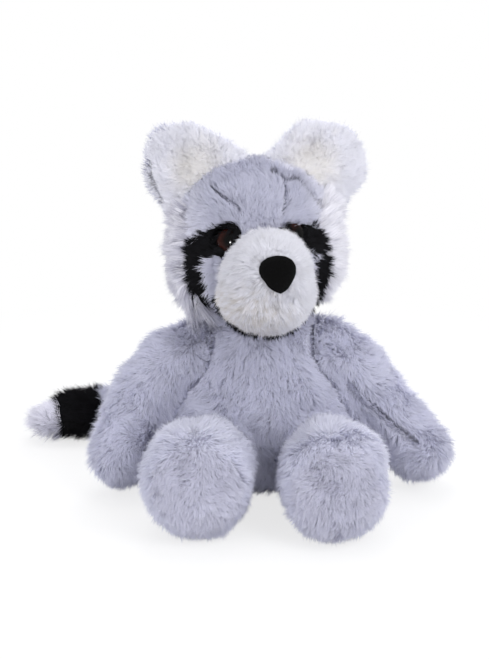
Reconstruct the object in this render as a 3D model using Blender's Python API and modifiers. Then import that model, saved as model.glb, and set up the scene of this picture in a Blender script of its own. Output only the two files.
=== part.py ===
"""A seated plush raccoon: a stuffed torso, head, limbs and tail, each its own solid.

Metres, +Z up. The animal faces -Y and sits on the plane Z = 0, with the origin in
the middle of the flat under its rump. A name ending in _l is on the -X side.
"""

import math

import bmesh
import bpy
from mathutils import Euler, Matrix, Vector

# Clearance that two touching pieces keep between their surfaces.
SEAM_GAP = 0.0003

# Torso: a pear that stands on a flat rump and narrows to the neck.
TORSO_HEIGHT = 0.122
SEAT_WIDTH = 0.100
SEAT_DEPTH = 0.084
HIP_WIDTH = 0.132
HIP_DEPTH = 0.112
HIP_HEIGHT = 0.028
CHEST_WIDTH = 0.090
CHEST_DEPTH = 0.082
CHEST_HEIGHT = 0.084
NECK_WIDTH = 0.062
NECK_DEPTH = 0.060

# Head: an egg that sinks a little into the neck, turned and tilted on it.
HEAD_WIDTH = 0.114
HEAD_DEPTH = 0.100
HEAD_HEIGHT = 0.116
HEAD_SIDE = -0.005
HEAD_FORWARD = 0.005
HEAD_SINK = 0.015
HEAD_TURN = math.radians(6.0)
HEAD_TILT = math.radians(4.0)

# Cheeks: long-pile side panels of the head.
CHEEK_DEPTH = 0.060
CHEEK_HEIGHT = 0.082
CHEEK_THICKNESS = 0.030
CHEEK_PROUD = 0.0055
CHEEK_FORWARD = 0.006
CHEEK_DROP = 0.008

# Muzzle: a stuffed ball sewn to the face.
MUZZLE_WIDTH = 0.066
MUZZLE_HEIGHT = 0.069
MUZZLE_DEPTH = 0.076
MUZZLE_PROUD = 0.048
MUZZLE_DROP = 0.0115
MUZZLE_SIDE = 0.0015

# Nose: a fleece shield on the front of the muzzle.
NOSE_WIDTH = 0.0275
NOSE_HEIGHT = 0.025
NOSE_DEPTH = 0.017
NOSE_PROUD = 0.0055
NOSE_RISE = 0.0115
NOSE_SIDE = 0.0025
NOSE_TAPER = 0.34

# Eyes: domed discs, each on a shank that passes through the fabric to a lock washer.
EYE_SPAN = 0.043
EYE_RISE = 0.0140
EYE_DIAMETER = 0.013
EYE_DOME = 0.0045
EYE_PROUD = 0.0030
EYE_BACK = 0.0030
SHANK_DIAMETER = 0.0040
SHANK_LENGTH = 0.0120
WASHER_DIAMETER = 0.0150
WASHER_THICKNESS = 0.0020
FABRIC_THICKNESS = 0.0040

# Masks: crescents of black fur from the brow round each eye to the jaw.
MASK_THICKNESS = 0.0080
MASK_EYE_WIDTH = 0.023
MASK_BROW_WIDTH = 0.013
MASK_CHEEK_WIDTH = 0.015
MASK_JAW_WIDTH = 0.006
MASK_PROUD = 0.0022
MASK_BROW_RISE = 0.008
MASK_DROP = 0.046

# Chin strip: a thin black band that follows the underside of the muzzle.
CHIN_BAND_WIDTH = 0.007
CHIN_BAND_PROUD = 0.0020

# Ears: a cupped back with a lining set into its front.
EAR_WIDTH = 0.069
EAR_HEIGHT = 0.057
EAR_THICKNESS = 0.020
EAR_LEAN = math.radians(31.0)
EAR_L_SPREAD = math.radians(34.0)
EAR_R_SPREAD = math.radians(44.0)
EAR_SINK = 0.020
EAR_FULLNESS = 2.3
EAR_ROOT_FULLNESS = 3.6
EAR_RIM = 0.0055
EAR_CUP = 0.0045
LINING_THICKNESS = 0.014

# Arms: fat tubes that slope from the shoulders to the floor.
ARM_DIAMETER = 0.051
SHOULDER_DIAMETER = 0.049
PAW_DIAMETER = 0.047
SHOULDER_SPAN = 0.084
SHOULDER_DROP = 0.0275
ELBOW_DROP = 0.064
PAW_LENGTH = 0.021
PAW_LIFT = 0.0015
ARM_L_ELBOW_OUT = 0.078
ARM_L_PAW_OUT = 0.095
ARM_L_PAW_FORWARD = 0.030
ARM_R_ELBOW_OUT = 0.074
ARM_R_PAW_OUT = 0.106
ARM_R_PAW_FORWARD = 0.018

# Legs: short tubes that stretch forward and swell into upright feet.
LEG_DIAMETER = 0.056
LEG_L_SIDE = 0.040
LEG_R_SIDE = 0.044
LEG_ROOT = 0.020
FOOT_WIDTH = 0.070
FOOT_HEIGHT = 0.082
FOOT_REACH = 0.137
FOOT_DEPTH = 0.046
REST_FLAT = 0.001
FOOT_LEAN = 0.006
FOOT_FULLNESS = 2.5

# Soles: oval pads set into the front of the feet.
SOLE_WIDTH = 0.056
SOLE_HEIGHT = 0.066
SOLE_THICKNESS = 0.012
SOLE_PROUD = 0.0025

# Tail: three lengths of stuffed tube lying behind, curled to the -X side.
TAIL_DIAMETER = 0.038
TAIL_TIP_DIAMETER = 0.030
TAIL_ROOT_DIAMETER = 0.034
TAIL_TIP_LENGTH = 0.026
TAIL_RING_LENGTH = 0.032
TAIL_REACH = 0.172
TAIL_BACK = 0.088
TAIL_TIP_DOME = 0.012
TAIL_SWEEP = 0.012
TAIL_ROOT_INSET = 0.020

ROUND_SIDES = 20

GREY_FUR = (0.50, 0.50, 0.62, 1.0)
PALE_FUR = (0.62, 0.62, 0.70, 1.0)
WHITE_FUR = (0.76, 0.74, 0.77, 1.0)
CREAM_FUR = (0.80, 0.77, 0.76, 1.0)
BLACK_FUR = (0.012, 0.012, 0.014, 1.0)
BLACK_FLEECE = (0.008, 0.008, 0.008, 1.0)
BROWN_GLOSS = (0.060, 0.018, 0.010, 1.0)
BLACK_PLASTIC = (0.02, 0.02, 0.02, 1.0)


class Section:
    """One cross-section of a stuffed tube: its centre and its half width and height."""

    def __init__(self, centre, half_width, half_height, way=None):
        self.centre = Vector(centre)
        self.half_width = half_width
        self.half_height = half_height
        self.way = way


def clear_scene():
    """Remove every object of the scene that the script starts in."""
    for old in list(bpy.data.objects):
        bpy.data.objects.remove(old, do_unlink=True)


def make_collection(name, hidden=False):
    """Add a collection to the scene, hidden from renders where it holds cutters."""
    collection = bpy.data.collections.new(name)
    bpy.context.scene.collection.children.link(collection)
    collection.hide_render = hidden
    return collection


def make_material(name, colour, roughness, metallic=0.0):
    """A Principled material with one colour, for a whole piece."""
    material = bpy.data.materials.new(name)
    material.use_nodes = True
    shader = material.node_tree.nodes["Principled BSDF"]
    shader.inputs["Base Color"].default_value = colour
    shader.inputs["Roughness"].default_value = roughness
    shader.inputs["Metallic"].default_value = metallic
    material.diffuse_color = colour
    return material


def to_object(name, form, collection, material=None, parent=None):
    """Wrap a finished bmesh as a smooth object, parented without moving it."""
    bmesh.ops.recalc_face_normals(form, faces=form.faces)
    mesh = bpy.data.meshes.new(name)
    form.to_mesh(mesh)
    form.free()
    mesh.shade_smooth()
    made = bpy.data.objects.new(name, mesh)
    collection.objects.link(made)
    if material:
        mesh.materials.append(material)
    if parent:
        made.parent = parent
    return made


def cutter(name, form, parent=None):
    """A helper shape that is subtracted from its neighbours and never rendered."""
    made = to_object(name, form, CUTTERS, parent=parent)
    made.hide_render = True
    made.display_type = "WIRE"
    return made


def cut(piece, *shapes):
    """Subtract each helper shape from a piece."""
    for shape in shapes:
        step = piece.modifiers.new("clear of " + shape.name, "BOOLEAN")
        step.operation = "DIFFERENCE"
        step.solver = "EXACT"
        step.object = shape


def pad_form(radii, centre=(0, 0, 0), turn=None, grow=0.0, rings=10, sides=ROUND_SIDES):
    """A ball stretched to the three radii, turned and then moved to its centre."""
    form = bmesh.new()
    bmesh.ops.create_uvsphere(form, u_segments=sides, v_segments=rings, radius=1.0)
    grown = [radius + grow for radius in radii]
    place = Matrix.Translation(centre) @ (turn or Matrix()).to_4x4()
    bmesh.ops.transform(form, matrix=place @ Matrix.Diagonal(grown + [1.0]), verts=form.verts)
    return form


def smooth_sections(sections, steps):
    """Sections along a smooth curve through the given ones."""
    padded = [sections[0]] + list(sections) + [sections[-1]]
    found = []
    for i in range(1, len(padded) - 2):
        a, b, c, d = (padded[i + k] for k in (-1, 0, 1, 2))
        for k in range(steps):
            t = k / steps
            weights = (
                -0.5 * t + t * t - 0.5 * t**3,
                1 - 2.5 * t * t + 1.5 * t**3,
                0.5 * t + 2 * t * t - 1.5 * t**3,
                -0.5 * t * t + 0.5 * t**3,
            )
            near = (a, b, c, d)
            centre = sum((w * s.centre for w, s in zip(weights, near)), Vector())
            width = sum(w * s.half_width for w, s in zip(weights, near))
            height = sum(w * s.half_height for w, s in zip(weights, near))
            found.append(Section(centre, width, height))
    found.append(sections[-1])
    return found


def tangents(sections):
    """Unit directions of travel at each section, where it doesn't hold its own."""
    last = len(sections) - 1
    found = []
    for i, section in enumerate(sections):
        along = sections[min(i + 1, last)].centre - sections[max(i - 1, 0)].centre
        found.append(section.way or along.normalized())
    return found


def rounded(angle, power):
    """A point on a unit outline that is round at power 2 and squarer above it."""
    across = math.cos(angle)
    up = math.sin(angle)
    reach = (abs(across) ** power + abs(up) ** power) ** (-1 / power)
    return across * reach, up * reach


def tube_form(
    sections, up, grow=0.0, cap_start=0.0, cap_end=0.0, sides=ROUND_SIDES, fullness=2.0
):
    """A closed tube through the sections, with domed or flat ends.

    A cap of length 0 leaves that end flat. The section's height lies towards `up`.
    """
    ways = tangents(sections)
    rings = [(s.centre, s.half_width, s.half_height, way) for s, way in zip(sections, ways)]
    steps = 4

    def dome(end, way, length):
        made = []
        for k in range(1, steps):
            angle = 0.5 * math.pi * k / steps
            shrink = math.cos(angle)
            centre = end.centre + way * (length * math.sin(angle))
            made.append((centre, end.half_width * shrink, end.half_height * shrink, way))
        return made

    start_dome = dome(sections[0], -ways[0], cap_start) if cap_start else []
    end_dome = dome(sections[-1], ways[-1], cap_end) if cap_end else []
    rings = [(c, w, h, -way) for c, w, h, way in reversed(start_dome)] + rings + end_dome
    form = bmesh.new()
    loops = []
    for centre, width, height, way in rings:
        side = way.cross(Vector(up)).normalized()
        over = side.cross(way).normalized()
        loop = []
        for k in range(sides):
            across, rise = rounded(2 * math.pi * k / sides, fullness)
            out = side * ((width + grow) * across) + over * ((height + grow) * rise)
            loop.append(form.verts.new(centre + out))
        loops.append(loop)
    for first, second in zip(loops, loops[1:]):
        for k in range(sides):
            after = (k + 1) % sides
            form.faces.new((first[k], first[after], second[after], second[k]))
    ends = ((loops[0], sections[0], -ways[0], cap_start), (loops[-1], sections[-1], ways[-1], cap_end))
    for loop, section, way, cap in ends:
        if not cap:
            form.faces.new(loop)
            continue
        pole = form.verts.new(section.centre + way * (cap + grow))
        for k in range(sides):
            form.faces.new((loop[k], loop[(k + 1) % sides], pole))
    return form


def trimmed(form, point, normal):
    """Cut away what lies behind a plane and close the cut."""
    everything = form.verts[:] + form.edges[:] + form.faces[:]
    bmesh.ops.bisect_plane(
        form, geom=everything, dist=1e-7, plane_co=point, plane_no=normal, clear_inner=True
    )
    bmesh.ops.holes_fill(form, edges=[e for e in form.edges if e.is_boundary])
    return form


def stand_on_floor(form):
    """Trim a form at Z = 0 and close it with a flat face."""
    return trimmed(form, (0, 0, 0), (0, 0, 1))


# Torso


def torso_form(grow=0.0):
    """The pear of the body, flat where it sits and flat under the head."""
    hip_half = Section((0, 0, HIP_HEIGHT), HIP_WIDTH / 2, HIP_DEPTH / 2)
    seat = Section((0, 0, 0), SEAT_WIDTH / 2, SEAT_DEPTH / 2)
    seat_roll = Section(
        (0, 0, HIP_HEIGHT * 0.25),
        (SEAT_WIDTH + 2 * HIP_WIDTH) / 6,
        (SEAT_DEPTH + 2 * HIP_DEPTH) / 6,
    )
    waist_height = (HIP_HEIGHT + CHEST_HEIGHT) / 2
    waist = Section(
        (0, 0, waist_height),
        (HIP_WIDTH + CHEST_WIDTH) / 4 + 0.05 * HIP_WIDTH,
        (HIP_DEPTH + CHEST_DEPTH) / 4 + 0.04 * HIP_DEPTH,
    )
    chest = Section((0, 0, CHEST_HEIGHT), CHEST_WIDTH / 2, CHEST_DEPTH / 2)
    neck = Section((0, 0, TORSO_HEIGHT), NECK_WIDTH / 2, NECK_DEPTH / 2)
    rings = smooth_sections([seat, seat_roll, hip_half, waist, chest, neck], 2)
    rings[0].centre.z -= grow
    rings[-1].centre.z += grow
    return tube_form(rings, up=(0, -1, 0), grow=grow, sides=24)


# Head and what is sewn to it. All of it is placed in the head's own frame, whose
# origin is the middle of the head and whose -Y points out of the face.

HEAD_Z = TORSO_HEIGHT - HEAD_SINK + HEAD_HEIGHT / 2
HEAD_RADII = (HEAD_WIDTH / 2, HEAD_DEPTH / 2, HEAD_HEIGHT / 2)


def head_form(grow=0.0):
    """The stuffed ball of the head."""
    return pad_form(HEAD_RADII, grow=grow, rings=14, sides=24)


def on_head(x, z, proud=0.0):
    """The point on the front of the head at this place across and up."""
    across = x / HEAD_RADII[0]
    up = z / HEAD_RADII[2]
    depth = math.sqrt(max(1 - across * across - up * up, 0.0))
    point = Vector((x, -HEAD_RADII[1] * depth, z))
    return point + head_normal(point) * proud


def head_normal(point):
    """The outward direction of the head's surface at a point on it."""
    return Vector([value / radius**2 for value, radius in zip(point, HEAD_RADII)]).normalized()


def muzzle_centre():
    """The muzzle's middle, so that its front stands proud of the face by MUZZLE_PROUD."""
    y = -HEAD_DEPTH / 2 - MUZZLE_PROUD + MUZZLE_DEPTH / 2
    return Vector((MUZZLE_SIDE, y, -MUZZLE_DROP))


MUZZLE_RADII = (MUZZLE_WIDTH / 2, MUZZLE_DEPTH / 2, MUZZLE_HEIGHT / 2)


def muzzle_form(grow=0.0):
    """The stuffed ball of the muzzle."""
    return pad_form(MUZZLE_RADII, muzzle_centre(), grow=grow, rings=12)


def nose_form():
    """A rounded shield, wider at its top, that sits on the muzzle's front."""
    form = bmesh.new()
    bmesh.ops.create_uvsphere(form, u_segments=14, v_segments=8, radius=1.0)
    for vert in form.verts:
        spread = 1 + NOSE_TAPER * vert.co.z
        vert.co.x *= spread / (1 + 0.55 * NOSE_TAPER)
    up = NOSE_RISE / MUZZLE_RADII[2]
    front = muzzle_centre() + Vector(
        (NOSE_SIDE, -MUZZLE_RADII[1] * math.sqrt(1 - up * up), NOSE_RISE)
    )
    lean = Matrix.Rotation(-math.asin(up) * 0.6, 4, "X")
    centre = front + Vector((0, NOSE_DEPTH / 2 - NOSE_PROUD, 0))
    size = Matrix.Diagonal((NOSE_WIDTH / 2, NOSE_DEPTH / 2, NOSE_HEIGHT / 2, 1.0))
    bmesh.ops.transform(form, matrix=Matrix.Translation(centre) @ lean @ size, verts=form.verts)
    return form


def cheek_form(side, grow=0.0):
    """A thick oval panel that stands proud of the head's side."""
    radii = (CHEEK_THICKNESS / 2, CHEEK_DEPTH / 2, CHEEK_HEIGHT / 2)
    out = HEAD_RADII[0] + CHEEK_PROUD - radii[0]
    return pad_form(radii, (side * out, -CHEEK_FORWARD, -CHEEK_DROP), grow=grow, sides=18)


def mask_form(side, grow=0.0):
    """A flattened crescent that follows the head from the brow, past the eye, to the jaw."""
    eye_x = side * EYE_SPAN / 2
    stops = (
        (eye_x * 0.66, EYE_RISE + MASK_BROW_RISE, MASK_BROW_WIDTH),
        (eye_x * 1.05, EYE_RISE + MASK_BROW_RISE * 0.25, MASK_EYE_WIDTH),
        (eye_x * 1.62, EYE_RISE - MASK_BROW_RISE * 0.25, MASK_EYE_WIDTH),
        (eye_x * 2.02, EYE_RISE - MASK_DROP * 0.37, MASK_CHEEK_WIDTH),
        (eye_x * 2.06, EYE_RISE - MASK_DROP * 0.70, MASK_CHEEK_WIDTH * 0.8),
        (eye_x * 1.84, EYE_RISE - MASK_DROP, MASK_JAW_WIDTH),
    )
    rise = MASK_PROUD - MASK_THICKNESS / 2
    path = [Section(on_head(x, z, rise), width / 2, MASK_THICKNESS / 2) for x, z, width in stops]
    rings = smooth_sections(path, 3)
    return band_form(rings, grow)


def band_form(rings, grow):
    """A tube whose flat sides lie along the head's surface, round at both ends."""
    ways = tangents(rings)
    form = bmesh.new()
    sides = 14
    steps = 3
    stations = [(s.centre, way, s.half_width, s.half_height) for s, way in zip(rings, ways)]

    def dome(end, way):
        made = []
        for k in range(1, steps):
            angle = 0.5 * math.pi * k / steps
            shift = way * (end.half_width * math.sin(angle))
            shrink = math.cos(angle)
            made.append((end.centre + shift, way, end.half_width * shrink, end.half_height * shrink))
        return made

    opening = [(c, -way, w, h) for c, way, w, h in reversed(dome(rings[0], -ways[0]))]
    stations = opening + stations + dome(rings[-1], ways[-1])
    loops = []
    for centre, way, width, height in stations:
        out = head_normal(centre)
        side = way.cross(out).normalized()
        over = side.cross(way).normalized()
        loop = []
        for k in range(sides):
            angle = 2 * math.pi * k / sides
            step = side * ((width + grow) * math.cos(angle)) + over * ((height + grow) * math.sin(angle))
            loop.append(form.verts.new(centre + step))
        loops.append(loop)
    for first, second in zip(loops, loops[1:]):
        for k in range(sides):
            after = (k + 1) % sides
            form.faces.new((first[k], first[after], second[after], second[k]))
    for loop, section, way in ((loops[0], rings[0], -ways[0]), (loops[-1], rings[-1], ways[-1])):
        pole = form.verts.new(section.centre + way * (section.half_width + grow))
        for k in range(sides):
            form.faces.new((loop[k], loop[(k + 1) % sides], pole))
    return form


def chin_form(grow=0.0):
    """A slim ring round the muzzle's root, of which only the lower half is kept."""
    middle = muzzle_centre()
    half = CHIN_BAND_WIDTH / 2
    wide = MUZZLE_RADII[0] + CHIN_BAND_PROUD - half
    tall = MUZZLE_RADII[2] + CHIN_BAND_PROUD - half
    rings = []
    for k in range(13):
        angle = math.radians(-162 + 144 * k / 12)
        x = middle.x + wide * math.cos(angle)
        z = middle.z + tall * math.sin(angle)
        rings.append(Section((x, middle.y + CHIN_BAND_WIDTH, z), half, half))
    return tube_form(rings, up=(0, -1, 0), grow=grow, cap_start=half, cap_end=half, sides=12)


def eye_place(side):
    """The frame of one eye: +Z out of the face, origin on the head's surface."""
    point = on_head(side * EYE_SPAN / 2, EYE_RISE)
    turn = head_normal(point).to_track_quat("Z", "Y").to_matrix().to_4x4()
    return Matrix.Translation(point) @ turn


def turned(name, profile, collection, material=None, parent=None):
    """A profile of (radius, height) pairs, top to bottom on its outer side, spun round Z."""
    mesh = bpy.data.meshes.new(name)
    points = [(radius, 0.0, height) for radius, height in profile]
    mesh.from_pydata(points, [(k, k + 1) for k in range(len(points) - 1)], [])
    if material:
        mesh.materials.append(material)
    made = bpy.data.objects.new(name, mesh)
    collection.objects.link(made)
    made.parent = parent
    spin = made.modifiers.new("turn", "SCREW")
    spin.axis = "Z"
    spin.steps = 16
    spin.render_steps = 16
    spin.use_merge_vertices = True
    spin.merge_threshold = 0.00005
    spin.use_smooth_shade = True
    return made


def eye_profile(grow=0.0):
    """The outline of a domed eye and its shank."""
    radius = EYE_DIAMETER / 2 + grow
    shank = SHANK_DIAMETER / 2 + grow
    top = EYE_PROUD + grow
    edge = EYE_PROUD - EYE_DOME
    back = -EYE_BACK - grow
    steps = 4
    dome = []
    for k in range(steps + 1):
        angle = 0.5 * math.pi * k / steps
        dome.append((radius * math.sin(angle), edge + (top - edge) * math.cos(angle)))
    return dome + [(radius, back), (shank, back), (shank, -SHANK_LENGTH - grow), (0.0, -SHANK_LENGTH - grow)]


def washer_profile(grow=0.0):
    """The outline of the washer that grips the shank behind the fabric."""
    outer = WASHER_DIAMETER / 2 + grow
    inner = SHANK_DIAMETER / 2 + SEAM_GAP
    front = -EYE_BACK - FABRIC_THICKNESS + grow
    back = front - WASHER_THICKNESS - 2 * grow
    if grow:
        return [(0.0, front), (outer, front), (outer, back), (0.0, back)]
    return [(inner, front), (outer, front), (outer, back), (inner, back), (inner, front)]


def ear_frame(side):
    """The frame of one ear: +Z along its height, -Y out of its lining."""
    spread = EAR_L_SPREAD if side < 0 else EAR_R_SPREAD
    direction = Vector((side * math.sin(spread), 0, math.cos(spread)))
    reach = 1 / math.sqrt(sum((value / radius) ** 2 for value, radius in zip(direction, HEAD_RADII)))
    root = direction * (reach - EAR_SINK)
    lean = Matrix.Rotation(side * EAR_LEAN, 4, "Y")
    return Matrix.Translation(root) @ lean


def ear_back_form(side, grow=0.0):
    """An upright oval pad, cupped forward at its rim."""
    radii = (EAR_WIDTH / 2, EAR_THICKNESS / 2, EAR_HEIGHT / 2)
    form = pad_form(radii, grow=grow)
    fill_out(form, radii)
    bend_to_cup(form, radii)
    place = ear_frame(side) @ Matrix.Translation((0, 0, EAR_HEIGHT / 2))
    bmesh.ops.transform(form, matrix=place, verts=form.verts)
    return form


def ear_lining_form(side, grow=0.0):
    """The lining: a thinner oval pad inside the rim of the ear's front."""
    radii = (EAR_WIDTH / 2 - EAR_RIM, LINING_THICKNESS / 2, EAR_HEIGHT / 2 - EAR_RIM)
    form = pad_form(radii, grow=grow, rings=9, sides=16)
    fill_out(form, radii)
    bend_to_cup(form, radii)
    forward = (EAR_THICKNESS - LINING_THICKNESS) / 2 + EAR_CUP * 0.25
    place = ear_frame(side) @ Matrix.Translation((0, -forward, EAR_HEIGHT / 2))
    bmesh.ops.transform(form, matrix=place, verts=form.verts)
    return form


def fill_out(form, radii):
    """Square an ear's oval outline towards a rounded block, most of all at its root."""
    for vert in form.verts:
        across = abs(vert.co.x) / radii[0]
        up = abs(vert.co.z) / radii[2]
        reach = math.hypot(across, up)
        if reach < 1e-6:
            continue
        power = EAR_ROOT_FULLNESS if vert.co.z < 0 else EAR_FULLNESS
        corner = ((across / reach) ** power + (up / reach) ** power) ** (-1 / power)
        vert.co.x *= corner
        vert.co.z *= corner


def bend_to_cup(form, radii):
    """Bring the rim of an ear forward of its middle."""
    for vert in form.verts:
        rim = (vert.co.x / radii[0]) ** 2 + (vert.co.z / radii[2]) ** 2
        vert.co.y -= EAR_CUP * (rim - 0.5)


# Limbs


def arm_form(side, elbow_out, paw_out, paw_forward, grow=0.0):
    """A tube from inside the shoulder, over the elbow, to a paw on the floor."""
    shoulder = SHOULDER_DIAMETER / 2
    upper = ARM_DIAMETER / 2
    paw = PAW_DIAMETER / 2
    start = Vector((side * (SHOULDER_SPAN / 2 - shoulder / 2), 0.0, TORSO_HEIGHT - SHOULDER_DROP))
    elbow = Vector((side * elbow_out, -paw_forward * 0.3, TORSO_HEIGHT - ELBOW_DROP))
    wrist = Vector((side * paw_out, -paw_forward, paw + PAW_LIFT))
    mid = start.lerp(elbow, 0.5) + Vector((0, 0, upper * 0.18))
    path = [
        Section(start, shoulder, shoulder),
        Section(mid, (shoulder + upper) / 2, (shoulder + upper) / 2),
        Section(elbow, upper, upper),
        Section(wrist, paw, paw),
    ]
    rings = smooth_sections(path, 3)
    return tube_form(rings, up=(0, -1, 0), grow=grow, cap_start=shoulder * 0.6, cap_end=PAW_LENGTH)


def leg_form(side, sideways, grow=0.0):
    """A tube from inside the torso that swells into an upright foot."""
    tube = LEG_DIAMETER / 2
    wide = FOOT_WIDTH / 2
    tall = FOOT_HEIGHT / 2
    heel = FOOT_REACH - FOOT_DEPTH
    round_end = FOOT_DEPTH * 0.30
    x = side * sideways
    root = Section((x * 0.85, -LEG_ROOT, tube), tube * 0.92, tube * 0.96)
    path = [
        root,
        Section((x * 0.95, -(LEG_ROOT + heel) / 2, tube), tube, tube),
        Section((x, -heel, tube + (tall - tube) * 0.45), (tube + wide) / 2, tube + (tall - tube) * 0.5),
        Section((x, -heel - FOOT_DEPTH * 0.35, tall - REST_FLAT), wide, tall),
        Section((x, -FOOT_REACH + round_end, tall - FOOT_LEAN / 3), wide * 0.95, tall * 0.96),
    ]
    rings = smooth_sections(path, 2)
    return tube_form(
        rings,
        up=(0, 0, 1),
        grow=grow,
        cap_start=tube * 0.3,
        cap_end=round_end,
        fullness=FOOT_FULLNESS,
    )


def sole_form(side, sideways, grow=0.0):
    """An oval pad on the front of a foot."""
    radii = (SOLE_WIDTH / 2, SOLE_THICKNESS / 2, SOLE_HEIGHT / 2)
    y = -FOOT_REACH - SOLE_PROUD + radii[1]
    centre = (side * sideways, y, FOOT_HEIGHT / 2 - FOOT_LEAN / 3)
    return pad_form(radii, centre, grow=grow, sides=18)


# Tail


def tail_path():
    """Closely spaced sections from the tail's tip to its root inside the rump."""
    tip = TAIL_TIP_DIAMETER / 2
    full = TAIL_DIAMETER / 2
    root = TAIL_ROOT_DIAMETER / 2
    path = [
        Section((-TAIL_REACH + TAIL_TIP_DOME, TAIL_BACK - TAIL_SWEEP / 3, tip), tip, tip),
        Section((-TAIL_REACH + TAIL_TIP_LENGTH * 1.4, TAIL_BACK, full - REST_FLAT), full, full),
        Section((-TAIL_REACH * 0.52, TAIL_BACK + TAIL_SWEEP / 3, full - REST_FLAT), full, full),
        Section((-TAIL_REACH * 0.22, TAIL_BACK - TAIL_SWEEP, full - REST_FLAT), full, full),
        Section((0.0, HIP_DEPTH / 2 - TAIL_ROOT_INSET, root + TAIL_SWEEP / 3), root, root),
    ]
    return smooth_sections(path, 10)


def tail_piece(start=None, stop=None):
    """The stretch of the tail between two seams, half a gap short of each."""
    whole = tail_path()
    travelled = [0.0]
    for before, after in zip(whole, whole[1:]):
        travelled.append(travelled[-1] + (after.centre - before.centre).length)
    form = tube_form(whole[::2], up=(0, 0, 1), cap_start=TAIL_TIP_DOME)
    for length, facing in ((start, 1), (stop, -1)):
        if length is None:
            continue
        seam = section_at(whole, travelled, length)
        normal = seam.way * facing
        trimmed(form, seam.centre + normal * (SEAM_GAP / 2), normal)
    return stand_on_floor(form)


def section_at(whole, travelled, length):
    """The tail's section at one length from its tip."""
    for k in range(len(whole) - 1):
        if travelled[k + 1] >= length - 1e-9:
            share = (length - travelled[k]) / (travelled[k + 1] - travelled[k])
            a, b = whole[k], whole[k + 1]
            return Section(
                a.centre.lerp(b.centre, share),
                a.half_width + (b.half_width - a.half_width) * share,
                a.half_height + (b.half_height - a.half_height) * share,
                (b.centre - a.centre).normalized(),
            )
    return whole[-1]


def build_torso():
    """Add the torso, trimmed round the head that sits in its neck."""
    torso = to_object("torso", torso_form(), PARTS, make_material("torso_fur", GREY_FUR, 0.9))
    cut(torso, HEAD_CUTTER)
    return torso


def build_head(frame):
    """Add the head and every piece that is sewn or locked to it."""
    head = to_object("head", head_form(), PARTS, make_material("head_fur", GREY_FUR, 0.9), frame)
    muzzle = to_object(
        "muzzle", muzzle_form(), PARTS, make_material("muzzle_fur", WHITE_FUR, 0.9), frame
    )
    cut(muzzle, HEAD_CUTTER)
    nose = to_object("nose", nose_form(), PARTS, make_material("nose_fleece", BLACK_FLEECE, 0.95), frame)
    cut(nose, cutter("muzzle_clear", muzzle_form(SEAM_GAP), frame))
    muzzle_clear = bpy.data.objects["muzzle_clear"]
    chin = to_object(
        "chin_band", chin_form(), PARTS, make_material("chin_band_fur", BLACK_FUR, 0.9), frame
    )
    cut(chin, HEAD_CUTTER, muzzle_clear)
    chin_clear = cutter("chin_clear", chin_form(SEAM_GAP), frame)
    for side, tag in ((-1, "l"), (1, "r")):
        place = eye_place(side)
        eye_clear = turned("eye_clear_" + tag, eye_profile(SEAM_GAP), CUTTERS, parent=frame)
        washer_clear = turned("washer_clear_" + tag, washer_profile(SEAM_GAP), CUTTERS, parent=frame)
        for helper in (eye_clear, washer_clear):
            helper.matrix_local = place
            helper.hide_render = True
            helper.display_type = "WIRE"
        eye = turned(
            "eye_" + tag, eye_profile(), PARTS, make_material("eye_gloss_" + tag, BROWN_GLOSS, 0.1), frame
        )
        washer = turned(
            "eye_washer_" + tag,
            washer_profile(),
            PARTS,
            make_material("washer_plastic_" + tag, BLACK_PLASTIC, 0.5),
            frame,
        )
        eye.matrix_local = place
        washer.matrix_local = place
        cut(head, eye_clear, washer_clear)
        cut(muzzle, eye_clear)
        mask = to_object(
            "mask_" + tag, mask_form(side), PARTS, make_material("mask_fur_" + tag, BLACK_FUR, 0.9), frame
        )
        cut(mask, HEAD_CUTTER, muzzle_clear, chin_clear, eye_clear)
        cheek = to_object(
            "cheek_" + tag, cheek_form(side), PARTS, make_material("cheek_fur_" + tag, PALE_FUR, 0.9), frame
        )
        mask_clear = cutter("mask_clear_" + tag, mask_form(side, SEAM_GAP), frame)
        cut(cheek, HEAD_CUTTER, mask_clear)
        back = to_object(
            "ear_back_" + tag,
            ear_back_form(side),
            PARTS,
            make_material("ear_back_fur_" + tag, GREY_FUR, 0.9),
            frame,
        )
        lining = to_object(
            "ear_lining_" + tag,
            ear_lining_form(side),
            PARTS,
            make_material("ear_lining_fur_" + tag, CREAM_FUR, 0.9),
            frame,
        )
        lining_clear = cutter("lining_clear_" + tag, ear_lining_form(side, SEAM_GAP), frame)
        cut(back, lining_clear, HEAD_CUTTER)
        cut(lining, HEAD_CUTTER)
        cut(cheek, cutter("ear_clear_" + tag, ear_back_form(side, SEAM_GAP), frame), lining_clear)


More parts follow.
